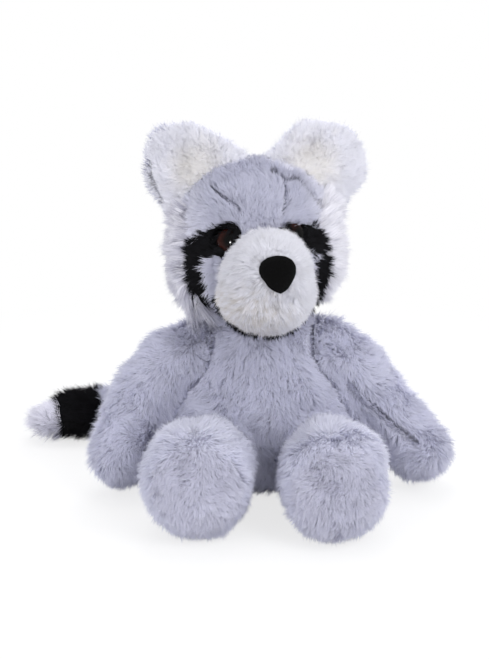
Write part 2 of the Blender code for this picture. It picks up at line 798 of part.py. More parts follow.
def build_limbs(frame):
    """Add the legs with their soles and the arms, each clear of what it is sewn to."""
    torso_clear = cutter("torso_clear", torso_form(SEAM_GAP))
    sides = ((-1, "l", LEG_L_SIDE), (1, "r", LEG_R_SIDE))
    leg_clear = {}
    for side, tag, sideways in sides:
        form = stand_on_floor(leg_form(side, sideways))
        leg = to_object("leg_" + tag, form, PARTS, make_material("leg_fur_" + tag, GREY_FUR, 0.9))
        leg_clear[tag] = cutter("leg_clear_" + tag, leg_form(side, sideways, SEAM_GAP))
        sole = to_object(
            "sole_" + tag,
            sole_form(side, sideways),
            PARTS,
            make_material("sole_fur_" + tag, PALE_FUR, 0.9),
        )
        cut(leg, torso_clear)
        cut(sole, leg_clear[tag])
    arms = (
        (-1, "l", ARM_L_ELBOW_OUT, ARM_L_PAW_OUT, ARM_L_PAW_FORWARD),
        (1, "r", ARM_R_ELBOW_OUT, ARM_R_PAW_OUT, ARM_R_PAW_FORWARD),
    )
    for side, tag, elbow_out, paw_out, forward in arms:
        form = stand_on_floor(arm_form(side, elbow_out, paw_out, forward))
        arm = to_object("arm_" + tag, form, PARTS, make_material("arm_fur_" + tag, GREY_FUR, 0.9))
        cheek_clear = cutter("cheek_clear_" + tag, cheek_form(side, SEAM_GAP), frame)
        cut(arm, torso_clear, leg_clear[tag], HEAD_CUTTER, cheek_clear)


def build_tail():
    """Add the tail's tip, ring and base, end to end."""
    torso_clear = bpy.data.objects["torso_clear"]
    tip_seam = TAIL_TIP_LENGTH - TAIL_TIP_DOME
    ring_seam = tip_seam + TAIL_RING_LENGTH
    tip = tail_piece(stop=tip_seam)
    to_object("tail_tip", tip, PARTS, make_material("tail_tip_fur", PALE_FUR, 0.9))
    ring = tail_piece(start=tip_seam, stop=ring_seam)
    to_object("tail_ring", ring, PARTS, make_material("tail_ring_fur", BLACK_FUR, 0.9))
    base = tail_piece(start=ring_seam)
    made = to_object("tail_base", base, PARTS, make_material("tail_base_fur", GREY_FUR, 0.9))
    cut(made, torso_clear)


clear_scene()
PARTS = make_collection("plush_raccoon")
CUTTERS = make_collection("cutters", hidden=True)
HEAD_FRAME = bpy.data.objects.new("head_frame", None)
PARTS.objects.link(HEAD_FRAME)
HEAD_FRAME.location = (HEAD_SIDE, -HEAD_FORWARD, HEAD_Z)
HEAD_FRAME.rotation_euler = Euler((0, -HEAD_TILT, HEAD_TURN), "YXZ")
HEAD_CUTTER = cutter("head_clear", head_form(SEAM_GAP), HEAD_FRAME)
build_torso()
build_head(HEAD_FRAME)
build_limbs(HEAD_FRAME)
build_tail()
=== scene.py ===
"""Dresses the seated plush raccoon: stuffed skins, cut pile, ears, mask, eyes and nose."""

import logging
import math
from collections.abc import Callable, Sequence
from dataclasses import dataclass, field
from enum import Enum

import bmesh
import bpy
import numpy as np
from mathutils import Euler, Matrix, Vector
from mathutils.bvhtree import BVHTree
from mathutils.kdtree import KDTree


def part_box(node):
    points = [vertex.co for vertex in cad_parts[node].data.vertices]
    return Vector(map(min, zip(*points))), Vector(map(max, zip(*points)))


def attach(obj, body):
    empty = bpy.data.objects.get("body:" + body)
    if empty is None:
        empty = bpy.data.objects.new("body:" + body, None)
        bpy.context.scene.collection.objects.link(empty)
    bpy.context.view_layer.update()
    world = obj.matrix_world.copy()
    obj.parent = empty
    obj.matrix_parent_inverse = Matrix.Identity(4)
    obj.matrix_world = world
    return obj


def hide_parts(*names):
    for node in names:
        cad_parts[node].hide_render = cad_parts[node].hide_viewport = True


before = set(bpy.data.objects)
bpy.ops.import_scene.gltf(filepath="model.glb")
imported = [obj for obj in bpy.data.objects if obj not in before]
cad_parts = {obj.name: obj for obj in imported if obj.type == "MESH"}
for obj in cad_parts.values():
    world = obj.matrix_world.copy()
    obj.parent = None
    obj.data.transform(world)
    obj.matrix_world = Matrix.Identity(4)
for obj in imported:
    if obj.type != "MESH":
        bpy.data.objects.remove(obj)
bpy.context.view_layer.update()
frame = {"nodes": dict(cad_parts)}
BODY = "root"
FLOOR_CLEARANCE = 0.0004
LOG = logging.getLogger("raccoon")

Rgb = tuple[float, float, float]
Rgba = tuple[float, float, float, float]
Point = tuple[float, float, float]
Measure = Callable[[np.ndarray], np.ndarray]

DARK: Rgb = (0, 0, 0)
PURE_WHITE: Rgba = (1.0, 1.0, 1.0, 1.0)


class Side(Enum):
    """The two sides of the toy, as they stand in the photograph."""

    LEFT = -1
    RIGHT = 1

    @property
    def tag(self) -> str:
        """The ending of this side's node names."""
        return "l" if self is Side.LEFT else "r"


class Facing(Enum):
    """Which way a coat of pile may face on a skin that it shares."""

    ANY = "all round"
    FRONT = "turned to the front"


def linear(colour: Rgb) -> Rgba:
    """A shader colour from red, green and blue as a screen shows them, 0 to 255."""
    parts = [value / 255 for value in colour]
    made = [p / 12.92 if p <= 0.04045 else ((p + 0.055) / 1.055) ** 2.4 for p in parts]
    return (made[0], made[1], made[2], 1.0)


def unit(rows: np.ndarray) -> np.ndarray:
    """Each row of vectors at length one."""
    return rows / np.maximum(np.linalg.norm(rows, axis=-1, keepdims=True), 1e-12)


def smooth_step(low: float, high: float, values: np.ndarray) -> np.ndarray:
    """Values eased from 0 at low to 1 at high."""
    part = np.clip((values - low) / (high - low), 0.0, 1.0)
    return part * part * (3.0 - 2.0 * part)


def triangles_of(mesh: bpy.types.Mesh) -> tuple[np.ndarray, np.ndarray]:
    """The points and triangles of a mesh."""
    mesh.calc_loop_triangles()
    points = np.empty(len(mesh.vertices) * 3, np.float32)
    mesh.vertices.foreach_get("co", points)
    faces = np.empty(len(mesh.loop_triangles) * 3, np.int32)
    mesh.loop_triangles.foreach_get("vertices", faces)
    return points.reshape(-1, 3).astype(float), faces.reshape(-1, 3)


def store(mesh: bpy.types.Mesh, name: str, values: np.ndarray) -> None:
    """Keeps one number or one vector a point on the mesh, under this name."""
    kind, key = ("FLOAT", "value") if values.ndim == 1 else ("FLOAT_VECTOR", "vector")
    layer = mesh.attributes.new(name, kind, "POINT")
    layer.data.foreach_set(key, values.astype(np.float32).ravel())


def placed(name: str, mesh: bpy.types.Mesh) -> bpy.types.Object:
    """A new object that holds this mesh, in the scene."""
    made = bpy.data.objects.new(name, mesh)
    bpy.context.scene.collection.objects.link(made)
    return made


class Value:
    """A number that varies over a surface, so that shader maths reads as Python."""

    def __init__(self, graph: "Graph", socket: bpy.types.NodeSocket) -> None:
        """Wraps one output socket of a graph."""
        self.graph = graph
        self.socket = socket

    def _maths(self, operation: str, first: "Value | float", second: "Value | float") -> "Value":
        """One Math node on two inputs."""
        made = self.graph.node("ShaderNodeMath", {"operation": operation}, {0: first, 1: second})
        return Value(self.graph, made.outputs[0])

    def __add__(self, other: "Value | float") -> "Value":
        """Sum."""
        return self._maths("ADD", self, other)

    def __radd__(self, other: float) -> "Value":
        """Sum with the number first."""
        return self._maths("ADD", other, self)

    def __sub__(self, other: "Value | float") -> "Value":
        """Difference."""
        return self._maths("SUBTRACT", self, other)

    def __rsub__(self, other: float) -> "Value":
        """Difference with the number first."""
        return self._maths("SUBTRACT", other, self)

    def __mul__(self, other: "Value | float") -> "Value":
        """Product."""
        return self._maths("MULTIPLY", self, other)

    def __rmul__(self, other: float) -> "Value":
        """Product with the number first."""
        return self._maths("MULTIPLY", other, self)

    def __pow__(self, other: "Value | float") -> "Value":
        """Power."""
        return self._maths("POWER", self, other)

    def larger(self, other: bpy.types.NodeSocket) -> "Value":
        """The larger of this and another output."""
        return self._maths("MAXIMUM", self, Value(self.graph, other))

    def eased(self, low: float, high: float) -> "Value":
        """This value mapped to 0 at low and 1 at high, with soft ends."""
        made = self.graph.node(
            "ShaderNodeMapRange",
            {"interpolation_type": "SMOOTHSTEP"},
            {"Value": self, "From Min": low, "From Max": high},
        )
        return Value(self.graph, made.outputs["Result"])


class Graph:
    """The node tree of one material, or of the world."""

    def __init__(self, holder: bpy.types.Material | bpy.types.World) -> None:
        """Empties the node tree of a new material or world."""
        holder.use_nodes = True
        self.holder = holder
        self.tree = holder.node_tree
        self.tree.nodes.clear()

    def node(self, kind: str, settings: dict | None = None, inputs: dict | None = None) -> bpy.types.Node:
        """Adds a node.

        Args:
            kind: The node's type.
            settings: Its own settings, such as an operation, or a ramp's stops.
            inputs: What goes into its sockets, by name or number: numbers, colours, sockets or Values.

        Returns:
            The node.
        """
        made = self.tree.nodes.new(kind)
        for key, value in (settings or {}).items():
            setattr(made, key, value)
        for key, value in (inputs or {}).items():
            if isinstance(value, Value):
                self.tree.links.new(value.socket, made.inputs[key])
            elif isinstance(value, bpy.types.NodeSocket):
                self.tree.links.new(value, made.inputs[key])
            else:
                made.inputs[key].default_value = value
        return made

    def reading(self, name: str) -> Value:
        """A number stored on the mesh under this name."""
        return Value(self, self.node("ShaderNodeAttribute", {"attribute_name": name}).outputs["Fac"])

    def place(self) -> bpy.types.NodeSocket:
        """The surface's own position on the object, in metres."""
        return self.node("ShaderNodeTexCoord").outputs["Object"]

    def cloud(self, scale: float, detail: float = 3.0, roughness: float = 0.5) -> Value:
        """Noise with this many features a metre."""
        inputs = {"Vector": self.place(), "Scale": scale, "Detail": detail, "Roughness": roughness}
        return Value(self, self.node("ShaderNodeTexNoise", None, inputs).outputs[0])

    def between(self, factor: Value, first: object, second: object) -> bpy.types.NodeSocket:
        """A colour mixed from first to second by factor."""
        made = self.node("ShaderNodeMix", {"data_type": "RGBA"}, {0: factor, 6: first, 7: second})
        return made.outputs[2]

    def brighter(self, colour: bpy.types.NodeSocket, by: Value) -> bpy.types.NodeSocket:
        """A colour times a number."""
        made = self.node("ShaderNodeVectorMath", {"operation": "SCALE"}, {0: colour, "Scale": by})
        return made.outputs[0]

    def bump(self, height: Value, strength: float, distance: float) -> bpy.types.NodeSocket:
        """A normal that follows this height."""
        inputs = {"Strength": strength, "Distance": distance, "Height": height}
        return self.node("ShaderNodeBump", None, inputs).outputs["Normal"]

    def see_through(self, colour: Rgb, times: float = 1.0) -> bpy.types.NodeSocket:
        """A shader that lets the light behind it through, in one colour times a number."""
        shown = tuple(value * times for value in linear(colour)[:3])
        return self.node("ShaderNodeBsdfTranslucent", None, {"Color": (*shown, 1.0)}).outputs[0]

    def mixed(self, share: Value, first: object, second: object) -> bpy.types.NodeSocket:
        """Two shaders mixed from first to second by share."""
        return self.node("ShaderNodeMixShader", None, {0: share, 1: first, 2: second}).outputs[0]

    def close(self, surface: bpy.types.NodeSocket) -> bpy.types.Material:
        """Closes a material's tree with this shader."""
        self.node("ShaderNodeOutputMaterial", None, {"Surface": surface})
        return self.holder

    def finish(self, inputs: dict) -> bpy.types.Material:
        """Closes a material's tree with a surface shader that takes these inputs."""
        return self.close(self.node("ShaderNodeBsdfPrincipled", None, inputs).outputs[0])


@dataclass(frozen=True)
class PileFinish:
    """A pile fabric's colours: at the root and the tip of a strand, and those of its second shade. The
    darker roots are painted shade deep in the pile.
    """

    name: str
    slot: str
    tip: Rgb
    root: Rgb
    second_tip: Rgb
    second_root: Rgb
    spread: float = 0.22
    sheen: float = 0.20
    shine: float = 0.10
    # How bright the skin under the pile is painted, as the shade deep in the pile.
    painted_depth_shade: float = 0.65

    ROOT_STRETCH = 0.8
    SEAM_SHADE_LEVEL = 0.42
    SEAM_SHADE_TINTS = (0.04, 0.13)
    SHEEN_TINT = (235, 235, 245)

    def strands(self) -> bpy.types.Material:
        """The material of the strands, which read their place along, their tone and shade from the mesh.
        Their tone carries patches of painted light and shade, and painted shade at seams.
        """
        graph = Graph(bpy.data.materials.new(f"{self.name}_strands"))
        along = graph.reading("along") ** self.ROOT_STRETCH
        tone_and_painted_shading = graph.reading("tone_and_painted_shading")
        shade = graph.reading("shade")
        # Painted shade: strands whose tone is lowest lie on seams and are dimmed down to 0.42 of their
        # colour, as the shade in the parting.
        shade_at_seams = self.SEAM_SHADE_LEVEL + tone_and_painted_shading.eased(*self.SEAM_SHADE_TINTS) * (1.0 - self.SEAM_SHADE_LEVEL)
        light = (1.0 + (tone_and_painted_shading - 0.5) * self.spread) * shade_at_seams
        near = self.near_side(graph, along, shade, light)
        far = self.far_side(graph, along, shade, light)
        turned = Value(graph, graph.node("ShaderNodeNewGeometry").outputs["Backfacing"])
        return graph.close(graph.mixed(turned, near, far))

    def near_side(self, graph: Graph, along: Value, shade: Value, light: Value) -> bpy.types.NodeSocket:
        """What the front of a strand shows.

        Args:
            graph: The material's nodes.
            along: How near the strand's tip a place is, 0 to 1.
            shade: How far the strand has the second shade, 0 to 1.
            light: How bright the strand is beside its colour: its own tone, patches of painted light and
                shade, and painted shade at seams.

        Returns:
            The shader.
        """
        # Roots are painted darker than tips, as painted shade deep in the pile.
        root = graph.between(shade, linear(self.root), linear(self.second_root))
        tip = graph.between(shade, linear(self.tip), linear(self.second_tip))
        colour = graph.brighter(graph.between(along, root, tip), light)
        sheen = {
            "Sheen Weight": self.sheen, "Sheen Roughness": 0.5, "Sheen Tint": linear(self.SHEEN_TINT)
        }
        inputs = {"Base Color": colour, "Roughness": 0.9, "Specular IOR Level": self.shine, **sheen}
        return graph.node("ShaderNodeBsdfPrincipled", None, inputs).outputs[0]

    def far_side(self, graph: Graph, along: Value, shade: Value, light: Value) -> bpy.types.NodeSocket:
        """What the back of a strand shows: the light that falls on its front, in the same colours.

        Each shader here has one colour, and only the shares in which they mix change along a strand.

        Args:
            graph: The material's nodes.
            along: How near the strand's tip a place is, 0 to 1.
            shade: How far the strand has the second shade, 0 to 1.
            light: How bright the strand is beside its colour: its own tone, patches of painted light and
                shade, and painted shade at seams.

        Returns:
            The shader.
        """
        most = 1.0 + 0.5 * self.spread
        root = graph.mixed(
            shade, graph.see_through(self.root, most), graph.see_through(self.second_root, most)
        )
        tip = graph.mixed(
            shade, graph.see_through(self.tip, most), graph.see_through(self.second_tip, most)
        )
        return graph.mixed(light * (1.0 / most), graph.see_through(DARK), graph.mixed(along, root, tip))

    def backing(self) -> bpy.types.Material:
        """The material of the knitted skin between the strands, painted darker than the pile as the shade
        deep under it, and darker still near seams as painted shade in the creases.
        """
        graph = Graph(bpy.data.materials.new(f"{self.name}_backing"))
        tufts = graph.cloud(420.0)
        wide = graph.cloud(45.0)
        shade = graph.reading("shade")
        root = graph.between(shade, linear(self.root), linear(self.second_root))
        tip = graph.between(shade, linear(self.tip), linear(self.second_tip))
        colour = graph.between(tufts.eased(0.3, 0.7), root, tip)
        # Painted shade: the skin is dimmed as the shade under the pile, and more at the seams' creases.
        light = (self.painted_depth_shade + wide * 0.30) * (1.0 - graph.reading("crease") * 0.6)
        fixed = {"Roughness": 0.95, "Specular IOR Level": 0.1, "Normal": graph.bump(tufts, 0.6, 0.0015)}
        return graph.finish({"Base Color": graph.brighter(colour, light), **fixed})


# Each finish's root colours are painted darker than its tips, as the shade deep in the pile.
GREY = PileFinish(
    "grey_fur", "grey_fur", (198, 199, 215), (172, 172, 191), (222, 223, 234), (202, 202, 217)
)
HEAD = PileFinish(
    "head_fur", "grey_fur", (180, 181, 197), (160, 160, 177), (216, 216, 226), (190, 190, 204)
)
CHEEK = PileFinish(
    "cheek_fur", "cheek_fur", (230, 229, 234), (192, 191, 202), (176, 175, 189), (122, 121, 138), 0.4
)
TAIL = PileFinish(
    "tail_fur", "cheek_fur", (228, 227, 237), (192, 191, 205), (196, 195, 207), (142, 140, 158), 0.4
)
WHITE = PileFinish(
    "white_fur", "white_fur", (212, 212, 219), (194, 194, 202), (199, 194, 190), (146, 140, 137), 0.30
)
EAR = PileFinish(
    "ear_fur",
    "white_fur",
    (219, 219, 227),
    (212, 212, 220),
    (224, 221, 216),
    (215, 211, 206),
    0.14,
    painted_depth_shade=0.95,
)
SOLE = PileFinish(
    "sole_fur", "sole_fur", (196, 196, 211), (175, 175, 192), (214, 215, 227), (192, 192, 206)
)
BLACK = PileFinish(
    "black_fur", "black_fur", (22, 22, 25), (5, 5, 6), (40, 38, 40), (10, 10, 11), 0.9, 0.0, 0.04
)


@dataclass(frozen=True)
class FleeceFinish:
    """The nose's black fleece: matt, with a fine nap."""

    name: str
    slot: str
    nap_colour: Rgb
    shadow: Rgb

    def backing(self) -> bpy.types.Material:
        """Fine matted fibres over a faint knit."""
        graph = Graph(bpy.data.materials.new(f"{self.name}_nap"))
        fibres = graph.cloud(2600.0, 4.0, 0.7)
        mats = graph.cloud(700.0, 2.0)
        colour = graph.between(fibres.eased(0.35, 0.75), linear(self.shadow), linear(self.nap_colour))
        bump = graph.bump(fibres * 0.7 + mats * 0.6, 0.8, 0.0006)
        fixed = {"Specular IOR Level": 0.03, "Sheen Weight": 0.01, "Sheen Roughness": 0.6}
        return graph.finish({"Base Color": colour, "Roughness": 0.95, "Normal": bump, **fixed})


@dataclass(frozen=True)
class GlassFinish:
    """The eyes' glossy domes: a brown iris round a black middle."""

    name: str
    slot: str
    iris: Rgb
    rim: Rgb

    PUPIL = (0.002, 0.002, 0.002, 1.0)

    def material(self) -> bpy.types.Material:
        """The dome's material, which reads how far from its middle a point is."""
        graph = Graph(bpy.data.materials.new(self.name))
        aside = graph.reading("aside")
        flecks = graph.cloud(1400.0, 3.0)
        iris = graph.between(aside.eased(0.9, 1.5), linear(self.iris), linear(self.rim))
        flecked = graph.brighter(iris, 0.7 + flecks * 0.6)
        colour = graph.between(aside.eased(0.35, 1.10), self.PUPIL, flecked)
        return graph.finish({"Base Color": colour, "Roughness": 0.10, "Specular IOR Level": 0.08})


FLEECE = FleeceFinish("nose_fleece", "nose_fleece", (8, 8, 9), (1, 1, 1))
GLASS = GlassFinish("eye_glass", "eye_gloss", (44, 17, 13), (10, 5, 4))


class Swell:
    """Smooth seeded noise, as a sum of plane waves."""

    def __init__(self, seed: int, wavelength: float, waves: int = 24) -> None:
        """Draws the waves.

        Args:
            seed: Fixes the noise.
            wavelength: The size of one lump, in metres.
            waves: How many waves are summed.
        """
        draw = np.random.default_rng(seed)
        ways = unit(draw.normal(size=(waves, 3)))
        self.waves = ways * (2 * math.pi / wavelength) * draw.uniform(0.7, 1.4, (waves, 1))
        self.starts = draw.uniform(0, 2 * math.pi, waves)

    def at(self, points: np.ndarray) -> np.ndarray:
        """The noise at these points, mostly within -1 and 1."""
        return np.sin(points @ self.waves.T + self.starts).sum(axis=1) / math.sqrt(len(self.starts))


@dataclass
class Skin:
    """A triangle surface that pile grows on."""

    points: np.ndarray
    faces: np.ndarray
    depth: float
    room: np.ndarray | None = None
    # How near each point is to a seam, where the skin is painted darker as the shade in the crease.
    crease: np.ndarray | None = None
    shares: dict[str, np.ndarray] = field(default_factory=dict)

    def normals(self) -> np.ndarray:
        """The outward direction at each point, averaged over its faces."""
        corners = self.points[self.faces]
        across = np.cross(corners[:, 1] - corners[:, 0], corners[:, 2] - corners[:, 0])
        total = np.zeros_like(self.points)
        for k in range(3):
            np.add.at(total, self.faces[:, k], across)
        return unit(total)

    def areas(self) -> np.ndarray:
        """The area of each face."""
        corners = self.points[self.faces]
        return np.linalg.norm(
            np.cross(corners[:, 1] - corners[:, 0], corners[:, 2] - corners[:, 0]), axis=1
        ) / 2


class Patterns:
    """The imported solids, read once, and what lies close over each."""

    def __init__(self, nodes: dict[str, bpy.types.Object]) -> None:
        """Reads each node's triangles and welds its points."""
        self.solids: dict[str, tuple[np.ndarray, np.ndarray]] = {}
        for name, node in nodes.items():
            points, faces = triangles_of(node.data)
            welded, index = np.unique(np.round(points, 6), axis=0, return_inverse=True)
            self.solids[name] = (welded, index.reshape(-1)[faces])

    def joined(self, names: Sequence[str]) -> tuple[np.ndarray, np.ndarray]:
        """The points and faces of several solids as one surface."""
        points, faces, start = [], [], 0
        for name in names:
            found, sides = self.solids[name]
            points.append(found)
            faces.append(sides + start)
            start += len(found)
        return np.concatenate(points), np.concatenate(faces)

    def around(self, names: Sequence[str]) -> BVHTree:
        """A tree of every solid but these."""
        points, faces = self.joined([name for name in self.solids if name not in names])
        return BVHTree.FromPolygons(points.tolist(), faces.tolist())

    def nearest(self, names: Sequence[str], places: np.ndarray) -> np.ndarray:
        """The number of the nearest of these solids, for each place."""
        gaps = []
        for name in names:
            points, faces = self.solids[name]
            tree = BVHTree.FromPolygons(points.tolist(), faces.tolist())
            gaps.append([tree.find_nearest(Vector(place))[3] for place in places.tolist()])
        return np.argmin(np.array(gaps), axis=0)


@dataclass(frozen=True)
class Nudge:
    """A place where the stuffing or a pattern edge is pushed one way, fading out round it."""

    place: Point
    shift: Point
    reach: float

    def at(self, points: np.ndarray) -> np.ndarray:
        """How far each point is pushed."""
        far = np.linalg.norm(points - np.array(self.place), axis=1) / self.reach
        return np.exp(-(far ** 2))[:, None] * np.array(self.shift)


def pushed(nudges: Sequence[Nudge], points: np.ndarray) -> np.ndarray:
    """How far all of these nudges together push each point."""
    return sum((nudge.at(points) for nudge in nudges), np.zeros(3))


@dataclass(frozen=True)
class Flow:
    """The way that pile lies: away from a point, with a steady pull added."""

    source: Point
    pull: Point = (0.0, 0.0, 0.0)
    bends: tuple[Nudge, ...] = ()

    def at(self, points: np.ndarray) -> np.ndarray:
        """The lie at these points, not yet laid flat on the surface."""
        steady = unit(points - np.array(self.source)) + np.array(self.pull)
        return steady + pushed(self.bends, points)


@dataclass(frozen=True)
class Cut:
    """How a pile is cut and brushed, in metres and radians."""

    length: float
    density: float
    width: float = 0.00042
    rise: float = 0.40
    lean: float = 0.92
    droop: float = 0.08
    tuft: float = 0.0028
    gather: float = 0.12
    swirl: float = 0.70
    stray: float = 0.34
    ragged: float = 0.18


@dataclass(frozen=True)
class Seam:
    """A stitched line or crease where the pile is drawn in and parts, and is painted darker as the shade
    in the parting.
    """

    points: tuple[Point, ...]
    reach: float = 0.0035
    drawn: float = 0.50
    sunk: float = 0.0012
    gap: float = 0.0010
    # How near the line the strands are painted darkest, as the shade in the parting.
    dark: float = 0.0010

    PROBES = 8
    SHORTEST = 0.22
    PILE_HEIGHT = 0.006

    def short_of(self, starts: np.ndarray, runs: np.ndarray, out: np.ndarray) -> np.ndarray:
        """How much of each strand stays, where the whole strand would lie across the line.

        Args:
            starts: Where each strand leaves the pile's face.
            runs: How far and which way it lies from there.
            out: The surface's direction at each.

        Returns:
            One share a strand, 1 where the line isn't met.
        """
        share = np.ones(len(starts))
        for part in np.arange(self.PROBES, 0, -1) / self.PROBES:
            met = self.distances(starts + runs * part, out) < self.gap
            share = np.where(met, part - 1 / self.PROBES, share)
        return np.maximum(share, self.SHORTEST)

    def distances(self, places: np.ndarray, out: np.ndarray) -> np.ndarray:
        """How far each place is from the line, measured along the surface that faces out.

        Args:
            places: Points on the surface or a few millimetres off it.
            out: The surface's direction at each.

        Returns:
            One distance a place.
        """
        nearest = np.full(len(places), np.inf)
        for first, second in zip(self.points, self.points[1:]):
            start = np.array(first)
            way = np.array(second) - start
            part = np.clip((places - start) @ way / max(way @ way, 1e-12), 0, 1)
            gap = places - start - part[:, None] * way
            height = (gap * out).sum(axis=1)
            beside = np.linalg.norm(gap - height[:, None] * out, axis=1)
            nearest = np.minimum(nearest, beside + np.maximum(np.abs(height) - self.PILE_HEIGHT, 0.0))
        return nearest


@dataclass(frozen=True)
class Patch:
    """A round place that belongs to one solid's coat, whichever solid is nearest."""

    node: str
    place: Point
    reach: float


@dataclass(frozen=True)
class Coat:
    """One pile fabric, on the part of a skin that stands for some of its solids."""

    name: str
    nodes: tuple[str, ...]
    finish: PileFinish | FleeceFinish
    cut: Cut
    flow: Flow
    seed: int
    facing: Facing = Facing.ANY
    seams: tuple[Seam, ...] = ()
    shade: Measure | None = None
    reach: Measure | None = None


@dataclass
class Pile:
    """The strands of one coat, as bent blades of two triangles."""

    coat: Coat
    skin: Skin
    over: BVHTree

    STEPS = 16
    COVER = 0.0028
    BELOW_FACE = 0.0015
    BLADE = np.array([0, 2, 1, 1, 2, 3])
    CHART = np.array([[0.5, 0.05], [0.8, 0.5], [0.2, 0.5], [0.2, 0.5], [0.8, 0.5], [0.5, 0.95]])
    BEND = 0.45
    BEYOND = 0.58

    def roots(self, draw: np.random.Generator) -> tuple[np.ndarray, np.ndarray, np.ndarray]:
        """Spreads the roots evenly over the coat's open part of the skin.

        Args:
            draw: The coat's seeded numbers.

        Returns:
            The roots, the direction out of the skin at each, and the room over each.
        """
        skin, normals = self.skin, self.skin.normals()
        share = sum(skin.shares[name] for name in self.coat.nodes)
        areas = skin.areas() * (share[skin.faces].max(axis=1) > 0)
        count = int(areas.sum() * 1e6 * self.coat.cut.density)
        edges = np.cumsum(areas) / areas.sum()
        spots = (np.arange(count) + draw.random(count)) / count
        chosen = np.minimum(np.searchsorted(edges, spots), len(areas) - 1)
        first, second = draw.random(count), draw.random(count)
        fold = first + second > 1
        first, second = np.where(fold, 1 - first, first), np.where(fold, 1 - second, second)
        weights = np.stack([1 - first - second, first, second], axis=1)
        faces = skin.faces[chosen]
        points = (skin.points[faces] * weights[:, :, None]).sum(axis=1)
        ways = unit((normals[faces] * weights[:, :, None]).sum(axis=1))
        room = (skin.room[faces] * weights).sum(axis=1)
        edge = 0.5 + 0.10 * Swell(self.coat.seed + 5, 0.009).at(points)
        hidden = (points[:, 2] < 0.010) & (ways[:, 2] < -0.6) & (draw.random(count) < 0.5)
        kept = ((share[faces] * weights).sum(axis=1) > edge) & ~hidden
        points, ways, room = points[kept], ways[kept], room[kept]
        kept = self.uncovered(points, ways, room)
        return points[kept], ways[kept], room[kept]

    def uncovered(self, points: np.ndarray, ways: np.ndarray, room: np.ndarray) -> np.ndarray:
        """Which roots have no other solid lying close over them.

        Args:
            points: The roots.
            ways: The direction out of the skin at each.
            room: The room over each, 0 to 1.

        Returns:
            True for each root that stays.
        """
        starts = points + ways * (self.skin.depth * room - self.BELOW_FACE)[:, None]
        open_over = [
            self.over.ray_cast(Vector(start), Vector(way), self.COVER)[0] is None
            for start, way in zip(starts.tolist(), ways.tolist())
        ]
        return np.array(open_over, bool)

    def clumps(self, roots: np.ndarray, draw: np.random.Generator) -> np.ndarray:
        """The number of the strand that leads each strand's tuft.

        Args:
            roots: The strands' roots.
            draw: The coat's seeded numbers.

        Returns:
            One number a strand.
        """
        spacing = self.coat.cut.tuft * 1e3
        share = 1 / (self.coat.cut.density * spacing * spacing * 0.8)
        leads = np.flatnonzero(draw.random(len(roots)) < share)
        if not len(leads):
            return np.arange(len(roots))
        tree = KDTree(len(leads))
        for number, place in enumerate(roots[leads].tolist()):
            tree.insert(place, number)
        tree.balance()
        return leads[[tree.find(place)[1] for place in roots.tolist()]]

    def grow(self, parent: bpy.types.Object) -> bpy.types.Object:
        """Builds the strands.

        Args:
            parent: The skin that they are rooted in.

        Returns:
            The mesh object, riding with its skin.
        """
        coat, cut = self.coat, self.coat.cut
        draw = np.random.default_rng(coat.seed)
        roots, out, room = self.roots(draw)
        count = len(roots)
        lead = self.clumps(roots, draw)
        lie = coat.flow.at(roots)
        lie = lie - (lie * out).sum(axis=1, keepdims=True) * out
        lie = unit(lie + 1e-6)
        across = np.cross(out, lie)
        swirl = Swell(coat.seed + 1, 0.034).at(roots) * cut.swirl
        own, shared = draw.normal(size=count), draw.normal(size=count)
        turn = swirl + shared[lead] * cut.stray * 0.8 + own * cut.stray
        way = np.cos(turn)[:, None] * lie + np.sin(turn)[:, None] * across

        ragged = 1 + cut.ragged * draw.normal(size=count)
        length = cut.length * ragged * (1 + 0.5 * cut.ragged * draw.normal(size=count)[lead])
        length = np.clip(length, cut.length * 0.45, cut.length * 1.5) * (0.60 + 0.40 * room)
        if coat.reach is not None:
            length = length * coat.reach(roots)
        lift = draw.normal(size=count) * 0.12 + draw.normal(size=count)[lead] * 0.06
        rise = cut.rise + lift
        lean = cut.lean + lift + Swell(coat.seed + 2, 0.022).at(roots) * 0.12
        seam_line_shaded = np.zeros(count, bool)
        # Patches of painted light and shade about 10 mm across, where the pile would turn, go into each
        # strand's tone.
        painted_patch_light = np.clip(Swell(coat.seed + 3, 0.010).at(roots), -1.5, 1.5)
        tone_and_painted_shading = 0.5 + draw.normal(size=count) * 0.10 + draw.normal(size=count)[lead] * 0.06 + painted_patch_light * 0.12
        tone_and_painted_shading = np.clip(tone_and_painted_shading, 0, 1)
        face = roots + out * (self.skin.depth * room)[:, None]
        # Near a seam the strands are shortened and parted, and their tone is lowered as painted shade in
        # the parting; on the line itself it drops to the darkest.
        for seam in coat.seams:
            near = 1 - smooth_step(seam.reach * 0.25, seam.reach, seam.distances(face, out))
            length = length * (1 - seam.drawn * near)
            length = length * seam.short_of(face, way * (length * 0.7)[:, None], out)
            tone_and_painted_shading = tone_and_painted_shading - 0.5 * near * seam.drawn
            seam_line_shaded |= seam.distances(face, out) < seam.dark
            lean = lean - 0.25 * near
        tone_and_painted_shading = np.where(seam_line_shaded, 0.0, np.clip(tone_and_painted_shading, 0.15, 1.0))
        base = np.cos(rise)[:, None] * out + np.sin(rise)[:, None] * way
        end = np.cos(lean)[:, None] * out + np.sin(lean)[:, None] * way - np.array([0, 0, cut.droop])
        middle = roots + base * (length * self.BEND)[:, None]
        tip = middle + unit(end) * (length * self.BEYOND)[:, None]
        tip = tip + (tip[lead] - tip) * cut.gather
        middle = middle + (middle[lead] - middle) * cut.gather * 0.35

